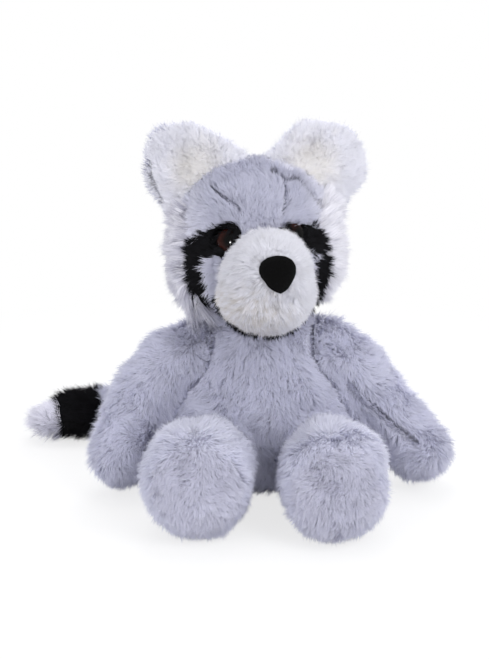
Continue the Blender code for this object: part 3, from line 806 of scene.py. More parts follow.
        run = unit(tip - roots)
        side = unit(np.cross(run, out) + 1e-9)
        roll = draw.normal(size=count) * 0.5
        side = unit(np.cos(roll)[:, None] * side + np.sin(roll)[:, None] * np.cross(side, run))
        half = side * (cut.width * 0.5 * draw.uniform(0.75, 1.3, count))[:, None]
        corners = np.stack([roots, middle - half, middle + half, tip], axis=1)
        corners[:, :, 2] = np.maximum(corners[:, :, 2], FLOOR_CLEARANCE)

        face_out = unit(np.cross(side, run))
        away = unit(tip - middle[lead]) * 0.35
        normal = unit(out * 0.9 + face_out * 0.35 + away + draw.normal(size=(count, 3)) * 0.05)
        shade = np.clip(coat.shade(roots), 0, 1) if coat.shade is not None else np.zeros(count)
        shade = np.clip(shade + draw.normal(size=count)[lead] * 0.06, 0, 1)
        return self.weave(parent, corners, normal, tone_and_painted_shading, shade)

    def weave(
        self,
        parent: bpy.types.Object,
        corners: np.ndarray,
        normal: np.ndarray,
        tone_and_painted_shading: np.ndarray,
        shade: np.ndarray,
    ) -> bpy.types.Object:
        """Puts the blades' corners, readings and normals into one mesh.

        Args:
            parent: The skin.
            corners: Four points a strand: root, both sides of its middle, and tip.
            normal: One direction a strand.
            tone_and_painted_shading: How light each strand is, 0 to 1: its own tone, patches of painted
                light and shade, and painted shade at seams.
            shade: How far each strand has its finish's second shade, 0 to 1.

        Returns:
            The mesh object.
        """
        count = len(corners)
        mesh = bpy.data.meshes.new(self.coat.name)
        mesh.vertices.add(count * 4)
        mesh.vertices.foreach_set("co", corners.astype(np.float32).ravel())
        mesh.loops.add(count * 6)
        numbers = np.arange(count)[:, None] * 4 + self.BLADE
        mesh.loops.foreach_set("vertex_index", numbers.astype(np.int32).ravel())
        mesh.polygons.add(count * 2)
        mesh.polygons.foreach_set("loop_start", (np.arange(count * 2) * 3).astype(np.int32))
        mesh.polygons.foreach_set("use_smooth", np.ones(count * 2, bool))
        mesh.update(calc_edges=True)
        level_tone_and_shading = np.floor(np.clip(tone_and_painted_shading, 0, 0.999) * self.STEPS)
        level_shade = np.floor(np.clip(shade, 0, 0.999) * self.STEPS)
        store(mesh, "along", np.tile(np.array([0.0, 0.5, 0.5, 1.0]), count))
        store(mesh, "tone_and_painted_shading", np.repeat((level_tone_and_shading + 0.5) / self.STEPS, 4))
        store(mesh, "shade", np.repeat((level_shade + 0.5) / self.STEPS, 4))
        cell = np.stack([level_tone_and_shading, level_shade], axis=1)[:, None, :]
        chart = mesh.uv_layers.new(name="OFBake")
        chart.data.foreach_set("uv", ((cell + self.CHART) / self.STEPS).astype(np.float32).ravel())
        mesh.normals_split_custom_set_from_vertices(np.repeat(normal, 4, axis=0).astype(np.float32))
        mesh.materials.append(self.coat.finish.strands())
        made = placed(self.coat.name, mesh)
        made.parent = parent
        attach(made, BODY)
        return made


@dataclass(frozen=True)
class Stuffing:
    """How hard a skin is blown up, and how stiff its cloth is."""

    frames: int = 20
    quality: int = 4
    weight: float = 120.0
    stretch: float = 0.6
    shear: float = 0.3
    bending: float = 0.02
    pressure: float = 4.0


@dataclass
class Shell:
    """The padded fabric skin that stands for one or more solids sewn together."""

    name: str
    nodes: tuple[str, ...]
    coats: tuple[Coat, ...]
    depth: float
    grain: float = 0.0048
    soften: int = 3
    slack: float = 0.0006
    cap: float = 0.0050
    rounds: int = 1
    lumps: float = 0.0012
    lump_size: float = 0.032
    fill: float = 0.8
    seed: int = 7
    nudges: tuple[Nudge, ...] = ()
    drifts: tuple[Nudge, ...] = ()
    patches: tuple[Patch, ...] = ()
    stuffing: Stuffing = Stuffing()

    def build(self, patterns: Patterns) -> tuple[bpy.types.Object, Skin]:
        """Makes the skin and the surface that its pile grows on.

        Args:
            patterns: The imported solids.

        Returns:
            The skin's object, and the surface for the pile.
        """
        points, faces = patterns.joined(self.nodes)
        mesh = bpy.data.meshes.new(self.name)
        mesh.from_pydata(points.tolist(), [], faces.tolist())
        made = placed(self.name, mesh)
        self.applied(made, "REMESH", mode="VOXEL", voxel_size=self.grain)
        self.applied(made, "SMOOTH", factor=0.5, iterations=self.soften)
        self.inset(made, patterns.around(self.nodes))
        if self.rounds > 0:
            self.applied(made, "SUBSURF", levels=self.rounds)
        skin = self.read(made.data)
        skin.room = self.taken(made.data, "room", "value", 1)
        outer = self.taken(made.data, "outer", "vector", 3).reshape(-1, 3)
        self.label(skin, patterns, outer)
        self.shape(skin, outer)
        self.write(made.data, skin.points)
        made.data.polygons.foreach_set("use_smooth", np.ones(len(made.data.polygons), bool))
        self.paint(made.data, skin)
        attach(made, BODY)
        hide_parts(*self.nodes)
        return made, skin

    def inset(self, made: bpy.types.Object, over: BVHTree) -> None:
        """Sets the skin back by the depth of its pile, less where a neighbour is sewn on, and stuffs it
        when it has a cap.

        Args:
            made: The skin's object, with the shape of its solids.
            over: The solids round it.
        """
        skin = self.read(made.data)
        gaps = np.array([over.find_nearest(Vector(place))[3] for place in skin.points.tolist()])
        room = smooth_step(0.0005, self.depth * 0.9, gaps)
        store(made.data, "room", room)
        store(made.data, "outer", skin.points)
        blown = self.cap > 0 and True
        depth = self.depth + self.slack if blown else self.depth
        self.write(made.data, skin.points - skin.normals() * (depth * room)[:, None])
        if blown:
            self.stuff(made, room)

    def shape(self, skin: Skin, outer: np.ndarray) -> None:
        """Draws the skin in at its seams, marks how near each point is to a seam for the shade painted
        there, and pushes its stuffing about.

        Args:
            skin: The skin, whose points are moved.
            outer: Where each point lay on the solids.
        """
        lumps = np.clip(Swell(self.seed, self.lump_size).at(outer), -2, 2) * self.lumps
        skin.crease = np.zeros(len(outer))
        ways = skin.normals()
        for seam in (seam for coat in self.coats for seam in coat.seams):
            far = seam.distances(outer, ways)
            lumps = lumps + seam.sunk * (1 - smooth_step(0.0, seam.reach * 1.6, far))
            skin.crease = np.maximum(skin.crease, 1 - smooth_step(0.0, seam.reach, far))
        skin.points = skin.points - skin.normals() * (lumps * skin.room)[:, None]
        skin.points = skin.points + pushed(self.nudges, skin.points)
        skin.points[:, 2] = np.maximum(skin.points[:, 2], FLOOR_CLEARANCE)

    def applied(self, made: bpy.types.Object, kind: str, **settings: object) -> None:
        """Puts one modifier on the skin and applies it."""
        modifier = made.modifiers.new(kind.lower(), kind)
        for name, value in settings.items():
            setattr(modifier, name, value)
        self.settle(made)

    def settle(self, made: bpy.types.Object) -> None:
        """Swaps the skin's mesh for what its modifiers make of it."""
        graph = bpy.context.evaluated_depsgraph_get()
        graph.update()
        old = made.data
        new = bpy.data.meshes.new_from_object(made.evaluated_get(graph), depsgraph=graph)
        made.modifiers.clear()
        made.data = new
        bpy.data.meshes.remove(old)

    def stuff(self, made: bpy.types.Object, room: np.ndarray) -> None:
        """Blows the skin up as cloth under pressure, each point at most as far as its cap allows.

        Args:
            made: The skin's object.
            room: How free each point is of other solids, 0 to 1.
        """
        start = self.read(made.data).points
        cloth = made.modifiers.new("stuffing", "CLOTH")
        settings = cloth.settings
        settings.quality = self.stuffing.quality
        settings.mass = self.stuffing.weight * self.grain ** 2
        settings.tension_stiffness = self.stuffing.stretch
        settings.compression_stiffness = self.stuffing.stretch
        settings.shear_stiffness = self.stuffing.shear
        settings.bending_stiffness = self.stuffing.bending
        settings.use_pressure = True
        settings.uniform_pressure_force = self.stuffing.pressure
        settings.effector_weights.gravity = 0.0
        cloth.collision_settings.use_collision = False
        for number in range(1, self.stuffing.frames + 1):
            bpy.context.scene.frame_set(number)
        self.settle(made)
        bpy.context.scene.frame_set(1)
        moved = self.read(made.data).points - start
        far = np.linalg.norm(moved, axis=1)
        LOG.info("%s: its cloth moved %.1f mm at most", self.name, 1e3 * far.max())
        kept = np.minimum(1.0, self.cap * room / np.maximum(far, 1e-9))
        self.write(made.data, start + moved * kept[:, None])

    def read(self, mesh: bpy.types.Mesh) -> Skin:
        """The points and triangles of a mesh, as a skin of this depth of pile."""
        return Skin(*triangles_of(mesh), self.depth)

    def write(self, mesh: bpy.types.Mesh, points: np.ndarray) -> None:
        """Moves the points of a mesh."""
        mesh.vertices.foreach_set("co", points.astype(np.float32).ravel())
        mesh.update()

    def taken(self, mesh: bpy.types.Mesh, name: str, kind: str, width: int) -> np.ndarray:
        """Reads one attribute off the mesh and removes it."""
        values = np.empty(len(mesh.vertices) * width, np.float32)
        mesh.attributes[name].data.foreach_get(kind, values)
        mesh.attributes.remove(mesh.attributes[name])
        return values.astype(float)

    def label(self, skin: Skin, patterns: Patterns, outer: np.ndarray) -> None:
        """Shares the skin out among its coats, by the nearest solid and the way that each point faces.

        Args:
            skin: The skin, whose shares are set.
            patterns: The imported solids.
            outer: Where each point lay on the solids.
        """
        places = outer - pushed(self.drifts, outer)
        alone = len(self.nodes) == 1
        number = np.zeros(len(outer), int) if alone else patterns.nearest(self.nodes, places)
        for patch in self.patches:
            inside = np.linalg.norm(outer - np.array(patch.place), axis=1) < patch.reach
            number[inside] = self.nodes.index(patch.node)
        for place, name in enumerate(self.nodes):
            skin.shares[name] = (number == place).astype(float)
        front = skin.normals()[:, 1] < 0.25
        for coat in self.coats:
            others = [name for name in self.nodes if name not in coat.nodes]
            for name in others if coat.facing is Facing.FRONT else ():
                own = coat.nodes[0]
                skin.shares[own] = np.maximum(skin.shares[own], skin.shares[name] * front)
                skin.shares[name] = skin.shares[name] * ~front

    def paint(self, mesh: bpy.types.Mesh, skin: Skin) -> None:
        """Gives each face the backing of the coat that it belongs to, and stores the coats' shades and the
        shade painted near seams.
        """
        marks = np.zeros(len(skin.points))
        shade = np.zeros(len(skin.points))
        for place, coat in enumerate(self.coats):
            mesh.materials.append(coat.finish.backing())
            own = sum(skin.shares[name] for name in coat.nodes) > 0.5
            marks[own] = place
            if coat.shade is not None:
                shade[own] = np.clip(coat.shade(skin.points[own]), 0, 1)
        store(mesh, "shade", shade)
        store(mesh, "crease", skin.crease)
        first = np.empty(len(mesh.polygons), np.int32)
        mesh.polygons.foreach_get("loop_start", first)
        corners = np.empty(len(mesh.loops), np.int32)
        mesh.loops.foreach_get("vertex_index", corners)
        mesh.polygons.foreach_set("material_index", marks[corners[first]].astype(np.int32))


class Dresser:
    """Makes a skin and the pile of its coats together."""

    def __init__(self, patterns: Patterns) -> None:
        """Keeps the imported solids."""
        self.patterns = patterns

    def dress(self, shell: Shell) -> list[bpy.types.Object]:
        """Builds one skin with the pile of its coats, and returns them all."""
        made, skin = shell.build(self.patterns)
        over = self.patterns.around(shell.nodes)
        return [made] + [Pile(coat, skin, over).grow(made) for coat in shell.coats]


@dataclass
class Torso:
    """The stuffed body, its pile brushed down from the neck."""

    cut: Cut = Cut(length=0.0080, density=2.8, swirl=0.9)
    neck: Point = (0.0, -0.02, 0.16)

    def build(self, dresser: Dresser) -> list[bpy.types.Object]:
        """Dresses the torso."""
        coat = Coat("torso_pile", ("torso",), GREY, self.cut, Flow(self.neck, (0.0, 0.0, -0.4)), 101)
        return dresser.dress(Shell("torso_plush", coat.nodes, (coat,), 0.0058, slack=0.0014, seed=11))


@dataclass
class Limbs:
    """The two arms, and the two legs with the flat soles of their feet."""

    arm_cut: Cut = Cut(length=0.0080, density=2.7, swirl=0.8)
    leg_cut: Cut = Cut(length=0.0072, density=2.7, lean=0.85, swirl=0.8)
    sole_cut: Cut = Cut(
        length=0.0066, density=3.6, rise=0.30, lean=0.70, swirl=0.8, gather=0.08, stray=0.40
    )
    shoulder_span: float = 0.084
    shoulder_height: float = 0.110
    foot_front: float = -0.137
    foot_side: float = 0.042
    foot_top: float = 0.080
    parting: float = 0.062

    def build(self, dresser: Dresser) -> list[bpy.types.Object]:
        """Dresses both arms and both feet."""
        fold_line = (
            (0.0570, -0.0280, 0.0730),
            (0.0606, -0.0286, 0.0692),
            (0.0719, -0.0308, 0.0596),
            (0.0864, -0.0343, 0.0489),
            (0.1021, -0.0381, 0.0384),
        )
        fold = Seam(fold_line, reach=0.0036, drawn=0.75, sunk=0.0030)
        left = (
            Nudge((-0.078, -0.010, 0.098), (-0.0045, 0.0, 0.0045), 0.020),
            Nudge((-0.060, -0.010, 0.112), (-0.0065, 0.0, 0.0080), 0.017),
        )
        right = (
            Nudge((0.072, -0.010, 0.103), (0.0030, 0.0, 0.0035), 0.020),
            Nudge((0.050, -0.006, 0.117), (0.0040, 0.0, 0.0060), 0.015),
            Nudge((0.130, -0.030, 0.030), (0.0045, 0.0, 0.0010), 0.016),
        )
        left_foot = Nudge((-0.0724, -0.125, 0.0425), (-0.0035, 0.0, 0.0), 0.025)
        right_foot = Nudge((0.044, -0.136, 0.006), (0.0, -0.0075, -0.0005), 0.026)
        return [
            *self.arm(dresser, Side.LEFT, (), left),
            *self.arm(dresser, Side.RIGHT, (fold,), right),
            *self.leg(dresser, Side.LEFT, left_foot),
            *self.leg(dresser, Side.RIGHT, right_foot),
        ]

    def arm(
        self,
        dresser: Dresser,
        side: Side,
        seams: tuple[Seam, ...],
        nudges: tuple[Nudge, ...],
    ) -> list[bpy.types.Object]:
        """Dresses one arm, its pile brushed towards the paw and, at the neck, over the torso.

        Args:
            dresser: Makes the pieces.
            side: Which arm.
            seams: The folds in it.
            nudges: Where its stuffing is pushed.

        Returns:
            The skin and its pile.
        """
        shoulder = (side.value * self.shoulder_span * 0.35, 0.01, self.shoulder_height)
        over = Nudge((side.value * 0.036, -0.024, 0.102), (-side.value * 2.6, 0.0, 0.3), 0.0125)
        flow = Flow(shoulder, (0.0, 0.0, -0.25), (over,))
        nodes = (f"arm_{side.tag}",)
        coat = Coat(
            f"arm_pile_{side.tag}", nodes, GREY, self.arm_cut, flow, 200 + side.value, seams=seams
        )
        form = Shell(f"arm_plush_{side.tag}", nodes, (coat,), 0.0058, seed=20 + side.value, nudges=nudges)
        return dresser.dress(form)

    def leg(self, dresser: Dresser, side: Side, nudge: Nudge) -> list[bpy.types.Object]:
        """Dresses one leg and its sole, whose pile spreads from a parting high on the foot.

        Args:
            dresser: Makes the pieces.
            side: Which leg.
            nudge: Where its stuffing is pushed.

        Returns:
            The skin and its piles.
        """
        part = (side.value * self.foot_side, self.foot_front + 0.022, self.parting)
        leg, sole = f"leg_{side.tag}", f"sole_{side.tag}"
        back, down = Flow(part, (0.0, 0.25, -0.1)), Flow(part, (0.0, 0.0, -0.15))
        upper = Coat(
            f"leg_pile_{side.tag}", (leg,), GREY, self.leg_cut, back, 300 + side.value, shade=self.instep
        )
        under = Coat(
            f"sole_pile_{side.tag}",
            (sole,),
            SOLE,
            self.sole_cut,
            down,
            400 + side.value,
            shade=self.instep,
        )
        low = Nudge((side.value * self.foot_side, -0.118, self.foot_top), (0.0, 0.0, -0.0050), 0.030)
        coats, nudges = (upper, under), (nudge, low)
        return dresser.dress(
            Shell(
                f"leg_plush_{side.tag}", (leg, sole), coats, 0.0050, seed=30 + side.value, nudges=nudges
            ),
        )

    def instep(self, points: np.ndarray) -> np.ndarray:
        """The shade of the foot's pile: paler on top of the foot and round its front edge."""
        rim = smooth_step(0.085, 0.120, -points[:, 1])
        return rim * (0.10 + 0.45 * smooth_step(0.055, 0.074, points[:, 2]))


EAR_CREASE_LINE = (
    (0.0060, -0.0212, 0.2184),
    (0.0092, -0.0208, 0.2177),
    (0.0163, -0.0254, 0.2126),
    (0.0229, -0.0194, 0.2122),
    (0.0287, -0.0212, 0.2066),
    (0.0417, -0.0221, 0.1943),
)
EAR_RIM_LINE = (
    (-0.0733, -0.0175, 0.2230),
    (-0.0727, -0.0184, 0.2166),
    (-0.0715, -0.0184, 0.2100),
    (-0.0684, -0.0177, 0.2020),
    (-0.0646, -0.0172, 0.1947),
)
EAR_CREASE = Seam(EAR_CREASE_LINE, reach=0.0022, drawn=0.50, sunk=0.0010, gap=0.0006, dark=0.0011)
EAR_RIM = Seam(EAR_RIM_LINE, reach=0.0020, drawn=0.25, sunk=0.0006, gap=0.0004, dark=0.0003)


@dataclass
class Head:
    """The round head, its forehead seams, its mask and its long cheek pile."""

    centre: Point = (-0.005, -0.005, 0.165)
    turn: float = math.radians(6)
    tilt: float = math.radians(4)
    radii: Point = (0.057, 0.050, 0.058)
    cut: Cut = Cut(
        length=0.0066, density=3.0, width=0.00038, rise=0.45, lean=1.02, swirl=0.5, gather=0.15
    )
    cheek_cut: Cut = Cut(
        length=0.0112,
        density=3.4,
        width=0.00040,
        rise=0.85,
        lean=1.22,
        swirl=0.2,
        stray=0.18,
        gather=0.35,
        tuft=0.0032,
        ragged=0.25,
    )
    mask_cut: Cut = Cut(
        length=0.0066,
        density=4.6,
        width=0.00050,
        rise=0.50,
        lean=1.10,
        swirl=0.3,
        gather=0.45,
        ragged=0.3,
    )
    band_cut: Cut = Cut(
        length=0.0102,
        density=6.5,
        width=0.00050,
        rise=0.12,
        lean=0.42,
        droop=0.25,
        gather=0.12,
        ragged=0.10,
    )
    bridge: Point = (0.002, -0.075, 0.005)
    lock: Point = (-0.0430, -0.036, 0.1295)

    def place(self) -> Matrix:
        """The head's frame in the toy's frame."""
        turned = Euler((0.0, -self.tilt, self.turn), "YXZ").to_matrix().to_4x4()
        return Matrix.Translation(self.centre) @ turned

    def world(self, point: Point) -> Point:
        """A point of the head in the toy's frame."""
        return tuple(self.place() @ Vector(point))

    def local(self, points: np.ndarray) -> np.ndarray:
        """Points of the toy in the head's frame."""
        back = np.array(self.place().inverted())
        return points @ back[:3, :3].T + back[:3, 3]

    def build(self, dresser: Dresser) -> list[bpy.types.Object]:
        """Dresses the head, mask and cheeks as one sewn form."""
        crown = Flow(self.world(self.bridge))
        coats = [
            Coat(
                "head_pile", ("head",), HEAD, self.cut, crown, 500, seams=self.seams(), shade=self.temples
            ),
        ]
        for side in Side:
            coats.extend((self.mask(side), self.cheek(side)))
        chin = Flow(self.world((0.0, -0.05, 0.005)), (0.0, 0.0, -0.3))
        coats.append(Coat("chin_band_pile", ("chin_band",), BLACK, self.band_cut, chin, 750))
        form = Shell(
            "head_plush",
            ("head", "mask_l", "mask_r", "cheek_l", "cheek_r", "chin_band"),
            tuple(coats),
            0.0050,
            grain=0.0021,
            soften=6,
            rounds=0,
            slack=0.0012,
            lumps=0.0008,
            seed=50,
            nudges=self.nudges(),
            drifts=self.drifts(),
            patches=self.patches(),
        )
        return dresser.dress(form)

    def middle(self, side: Side) -> Point:
        """The place beside the muzzle that one side's pile runs away from."""
        return self.world((side.value * 0.018, -0.045, -0.002))

    def mask(self, side: Side) -> Coat:
        """The black coat round one eye, which hangs over the dome from the brow."""
        brow = Nudge(
            self.world((side.value * 0.0200, -0.048, 0.0200)), (side.value * 1.8, 0.0, -3.4), 0.0090
        )
        flow = Flow(self.middle(side), (side.value * 0.3, 0.0, -0.1), (brow,))
        name, nodes, seed = f"mask_pile_{side.tag}", (f"mask_{side.tag}",), 700 + side.value
        return Coat(name, nodes, BLACK, self.mask_cut, flow, seed, reach=self.lashes(brow))

    def cheek(self, side: Side) -> Coat:
        """The long coat of one cheek, with a lock that falls aside on the left."""
        bends = (Nudge(self.lock, (3.6, -0.5, -2.2), 0.013),) if side is Side.LEFT else ()
        flow = Flow(self.middle(side), (0.0, 0.2, -0.15), bends)
        name, nodes, seed = f"cheek_pile_{side.tag}", (f"cheek_{side.tag}",), 800 + side.value
        shade, reach = self.brindle(side), self.tuft(side)
        return Coat(name, nodes, CHEEK, self.cheek_cut, flow, seed, shade=shade, reach=reach)

    def seams(self) -> tuple[Seam, ...]:
        """Two gusset seams over the forehead, and the crease under the right ear."""
        left = (
            (-0.0339, -0.0269, 0.2084),
            (-0.0241, -0.0394, 0.2023),
            (-0.0165, -0.0444, 0.1988),
            (-0.0152, -0.0472, 0.1942),
        )
        right = (
            (0.0150, -0.0260, 0.2128),
            (0.0154, -0.0389, 0.2009),
            (0.0140, -0.0478, 0.1911),
        )
        return (
            Seam(left, reach=0.0019, drawn=0.40, sunk=0.0008, gap=0.0004, dark=0.0004),
            Seam(right, reach=0.0019, drawn=0.40, sunk=0.0008, gap=0.0004, dark=0.0003),
            EAR_CREASE,
        )

    def nudges(self) -> tuple[Nudge, ...]:
        """Where the cheeks are stuffed flatter than their solids."""
        return (
            Nudge((-0.060, -0.028, 0.126), (0.0070, 0.0, 0.0050), 0.022),
            Nudge((-0.064, -0.015, 0.160), (0.0030, 0.0, 0.0), 0.022),
            Nudge((0.052, -0.022, 0.128), (-0.0080, 0.0, 0.0050), 0.022),
            Nudge((0.058, -0.020, 0.162), (-0.0045, 0.0, 0.0), 0.022),
        )

    def drifts(self) -> tuple[Nudge, ...]:
        """Where the mask's edges lie off the solids' edges."""
        return (
            Nudge((-0.024, -0.047, 0.189), (0.0, 0.0, -0.0048), 0.013),
            Nudge((-0.012, -0.053, 0.187), (-0.0060, 0.0, -0.0030), 0.008),
            Nudge((0.024, -0.046, 0.190), (0.0, 0.0, -0.0100), 0.018),
            Nudge((0.008, -0.052, 0.188), (0.0045, 0.0, -0.0060), 0.010),
            Nudge((0.045, -0.034, 0.166), (-0.0010, 0.0, 0.0), 0.012),
            Nudge((0.0375, -0.0332, 0.1870), (-0.0050, 0.0, -0.0070), 0.0095),
            Nudge((-0.0479, -0.0400, 0.1660), (-0.0034, 0.0, 0.0), 0.013),
            Nudge((-0.0425, -0.0416, 0.1835), (0.0024, 0.0, -0.0030), 0.0090),
        )

    def patches(self) -> tuple[Patch, ...]:
        """Where the mask runs down beside the muzzle to the chin."""
        return (
            Patch("mask_l", (-0.0485, -0.044, 0.1545), 0.0050),
            Patch("mask_l", (-0.0445, -0.043, 0.153), 0.0065),
            Patch("mask_l", (-0.0435, -0.040, 0.1435), 0.0062),
            Patch("mask_l", (-0.0395, -0.036, 0.134), 0.0056),
            Patch("mask_l", (-0.0345, -0.030, 0.126), 0.0050),
            Patch("mask_l", (-0.0290, -0.028, 0.120), 0.0045),
            Patch("mask_r", (0.0390, -0.036, 0.158), 0.0060),
            Patch("mask_r", (0.0400, -0.034, 0.1500), 0.0055),
            Patch("mask_r", (0.0400, -0.031, 0.142), 0.0052),
            Patch("mask_r", (0.0385, -0.027, 0.134), 0.0048),
        )

    def temples(self, points: np.ndarray) -> np.ndarray:
        """The head's shade: paler at the temples, and white at the foot of the right ear."""
        place = self.local(points)
        sides = 0.8 * smooth_step(
            0.024, 0.044, np.abs(place[:, 0])
        ) * smooth_step(-0.03, 0.02, -place[:, 1])
        line = np.array(EAR_CREASE_LINE)
        above = points[:, 2] - np.interp(points[:, 0], line[:, 0], line[:, 2])
        along = smooth_step(0.004, 0.008, points[:, 0]) * smooth_step(-0.046, -0.040, -points[:, 0])
        return np.maximum(sides, smooth_step(-0.0005, 0.0015, above) * along)

    def brindle(self, side: Side) -> Measure:
        """The cheek's shade: grey locks among white ones, and greyer all over on the left cheek."""
        amount = 0.50 if side is Side.LEFT else 0.0

        def shade(points: np.ndarray) -> np.ndarray:
            """How grey each strand is."""
            return amount + 0.38 * Swell(15, 0.0045).at(points)

        return shade

    def lashes(self, brow: Nudge) -> Measure:
        """The mask's length: longer over the eye, where it hangs across the dome."""

        def reach(points: np.ndarray) -> np.ndarray:
            """How many times its length each strand is."""
            far = np.linalg.norm(points - np.array(brow.place), axis=1) / 0.0070
            return 1.0 + 0.7 * np.exp(-(far ** 2))

        return reach

    def tuft(self, side: Side) -> Measure:
        """The cheek's length: a long lock low at the front of the left cheek, short pile below."""
        lock = np.array(self.lock)

        def reach(points: np.ndarray) -> np.ndarray:
            """How many times its length each strand is."""
            low = 1.0 - 0.25 * smooth_step(0.015, 0.035, -self.local(points)[:, 2])
            if side is Side.RIGHT:
                return low
            far = np.linalg.norm(points - lock, axis=1) / 0.0100
            return low + 2.2 * np.exp(-(far ** 2))

        return reach


@dataclass
class Face:
    """Muzzle, nose and eyes."""

    head: Head
    muzzle_cut: Cut = Cut(
        length=0.0068,
        density=3.6,
        width=0.00038,
        rise=0.35,
        lean=0.95,
        droop=0.12,
        swirl=0.35,
        stray=0.24,
        gather=0.15,
    )
    nose_tip: Point = (0.0025, -0.099, 0.000)
    eye_span: float = 0.043
    eye_rise: float = 0.0140
    eye_radius: float = 0.0074
    eye_dome: float = 0.0050
    eye_edge: float = -0.0015
    gaze: float = 0.0028
    eye_rings: int = 10
    eye_sides: int = 40

    def build(self, dresser: Dresser) -> list[bpy.types.Object]:
        """Dresses the face."""
        flow = Flow(self.head.world(self.nose_tip), (0.0, 0.0, -0.25))
        mouth_line = (
            (0.0088, -0.1040, 0.1560),
            (0.0088, -0.1017, 0.1529),
            (0.0083, -0.1000, 0.1429),
        )
        mouth = Seam(mouth_line, reach=0.0030, drawn=0.30, sunk=0.0010, gap=0.0003, dark=0.0)
        slim = (
            Nudge((-0.0205, -0.068, 0.1780), (0.0045, 0.0, -0.0020), 0.012),
            Nudge((0.003, -0.085, 0.124), (0.0, 0.0, 0.0020), 0.016),
            Nudge((0.034, -0.075, 0.150), (-0.0030, 0.0, 0.0), 0.020),
            Nudge((-0.027, -0.075, 0.146), (-0.0022, 0.0, -0.0010), 0.016),
        )
        coat = Coat(
            "muzzle_pile",
            ("muzzle",),
            WHITE,
            self.muzzle_cut,
            flow,
            600,
            seams=(mouth,),
            shade=self.stained,
        )
        form = Shell(
            "muzzle_plush",
            coat.nodes,
            (coat,),
            0.0055,
            grain=0.0045,
            slack=0.0,
            lumps=0.0006,
            seed=60,
            nudges=slim,
        )
        return [*dresser.dress(form), self.nose(dresser.patterns), *(self.eye(side) for side in Side)]

    def stained(self, points: np.ndarray) -> np.ndarray:
        """The muzzle's faint beige, low on one side."""
        place = self.head.local(points)
        low = smooth_step(-0.006, 0.026, -place[:, 2]) * smooth_step(-0.024, 0.012, -place[:, 0])
        return 0.95 * low * (0.55 + 0.60 * Swell(9, 0.0045).at(points))

    def nose(self, patterns: Patterns) -> bpy.types.Object:
        """The padded nose of napped fleece."""
        coat = Coat("nose_nap", ("nose",), FLEECE, self.muzzle_cut, Flow(self.nose_tip), 61)
        pad = Shell(
            "nose_pad",
            coat.nodes,
            (coat,),
            0.0004,
            grain=0.0009,
            soften=8,
            cap=0.0,
            rounds=0,
            lumps=0.0002,
            lump_size=0.006,
            seed=61,
        )
        return pad.build(patterns)[0]

    def stand(self, side: Side) -> Matrix:
        """The frame of one eye, with Z out of the face."""
        across = side.value * self.eye_span / 2
        radii = np.array(self.head.radii)
        depth = math.sqrt(1 - (across / radii[0]) ** 2 - (self.eye_rise / radii[2]) ** 2)
        place = Vector((across, -radii[1] * depth, self.eye_rise))
        out = Vector([value / radius ** 2 for value, radius in zip(place, radii)]).normalized()
        return self.head.place() @ Matrix.Translation(place) @ out.to_track_quat(
            "Z", "Y"
        ).to_matrix().to_4x4()

    def dome(self, name: str, stand: Matrix) -> bpy.types.Mesh:
        """The half globe of one eye, closed behind.

        Args:
            name: The mesh's name.
            stand: The eye's frame.

        Returns:
            The mesh.
        """
        shape = bmesh.new()
        turns = np.linspace(0, 2 * math.pi, self.eye_sides, endpoint=False)
        rings = []
        for ring in range(self.eye_rings + 1):
            angle = 0.5 * math.pi * ring / self.eye_rings
            radius = self.eye_radius * math.sin(angle)
            height = self.eye_edge + self.eye_dome * math.cos(angle)
            spots = [Vector((radius * math.cos(turn), radius * math.sin(turn), height)) for turn in turns]
            rings.append([shape.verts.new(stand @ spot) for spot in spots])
        for inner, outer in zip(rings, rings[1:]):
            for k in range(self.eye_sides):
                after = (k + 1) % self.eye_sides
                shape.faces.new((inner[k], outer[k], outer[after], inner[after]))
        shape.faces.new(list(reversed(rings[-1])))
        bmesh.ops.remove_doubles(shape, verts=shape.verts, dist=1e-6)
        mesh = bpy.data.meshes.new(name)
        shape.to_mesh(mesh)
        shape.free()
        mesh.polygons.foreach_set("use_smooth", [len(face.vertices) < 5 for face in mesh.polygons])
        return mesh

    def eye(self, side: Side) -> bpy.types.Object:
        """One domed eye with a brown iris, turned out of the face."""
        stand = self.stand(side)
        mesh = self.dome(f"eye_dome_{side.tag}", stand)
        points, _ = triangles_of(mesh)
        axis = np.array(stand.to_3x3() @ Vector((0, 0, 1)))
        aside = points - np.array(stand @ Vector((self.gaze, 0.0, 0.0)))
        aside = np.linalg.norm(aside - np.outer(aside @ axis, axis), axis=1)
        store(mesh, "aside", aside / self.eye_radius)
        mesh.materials.append(GLASS.material())
        made = placed(mesh.name, mesh)
        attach(made, BODY)
        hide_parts(f"eye_{side.tag}")
        return made


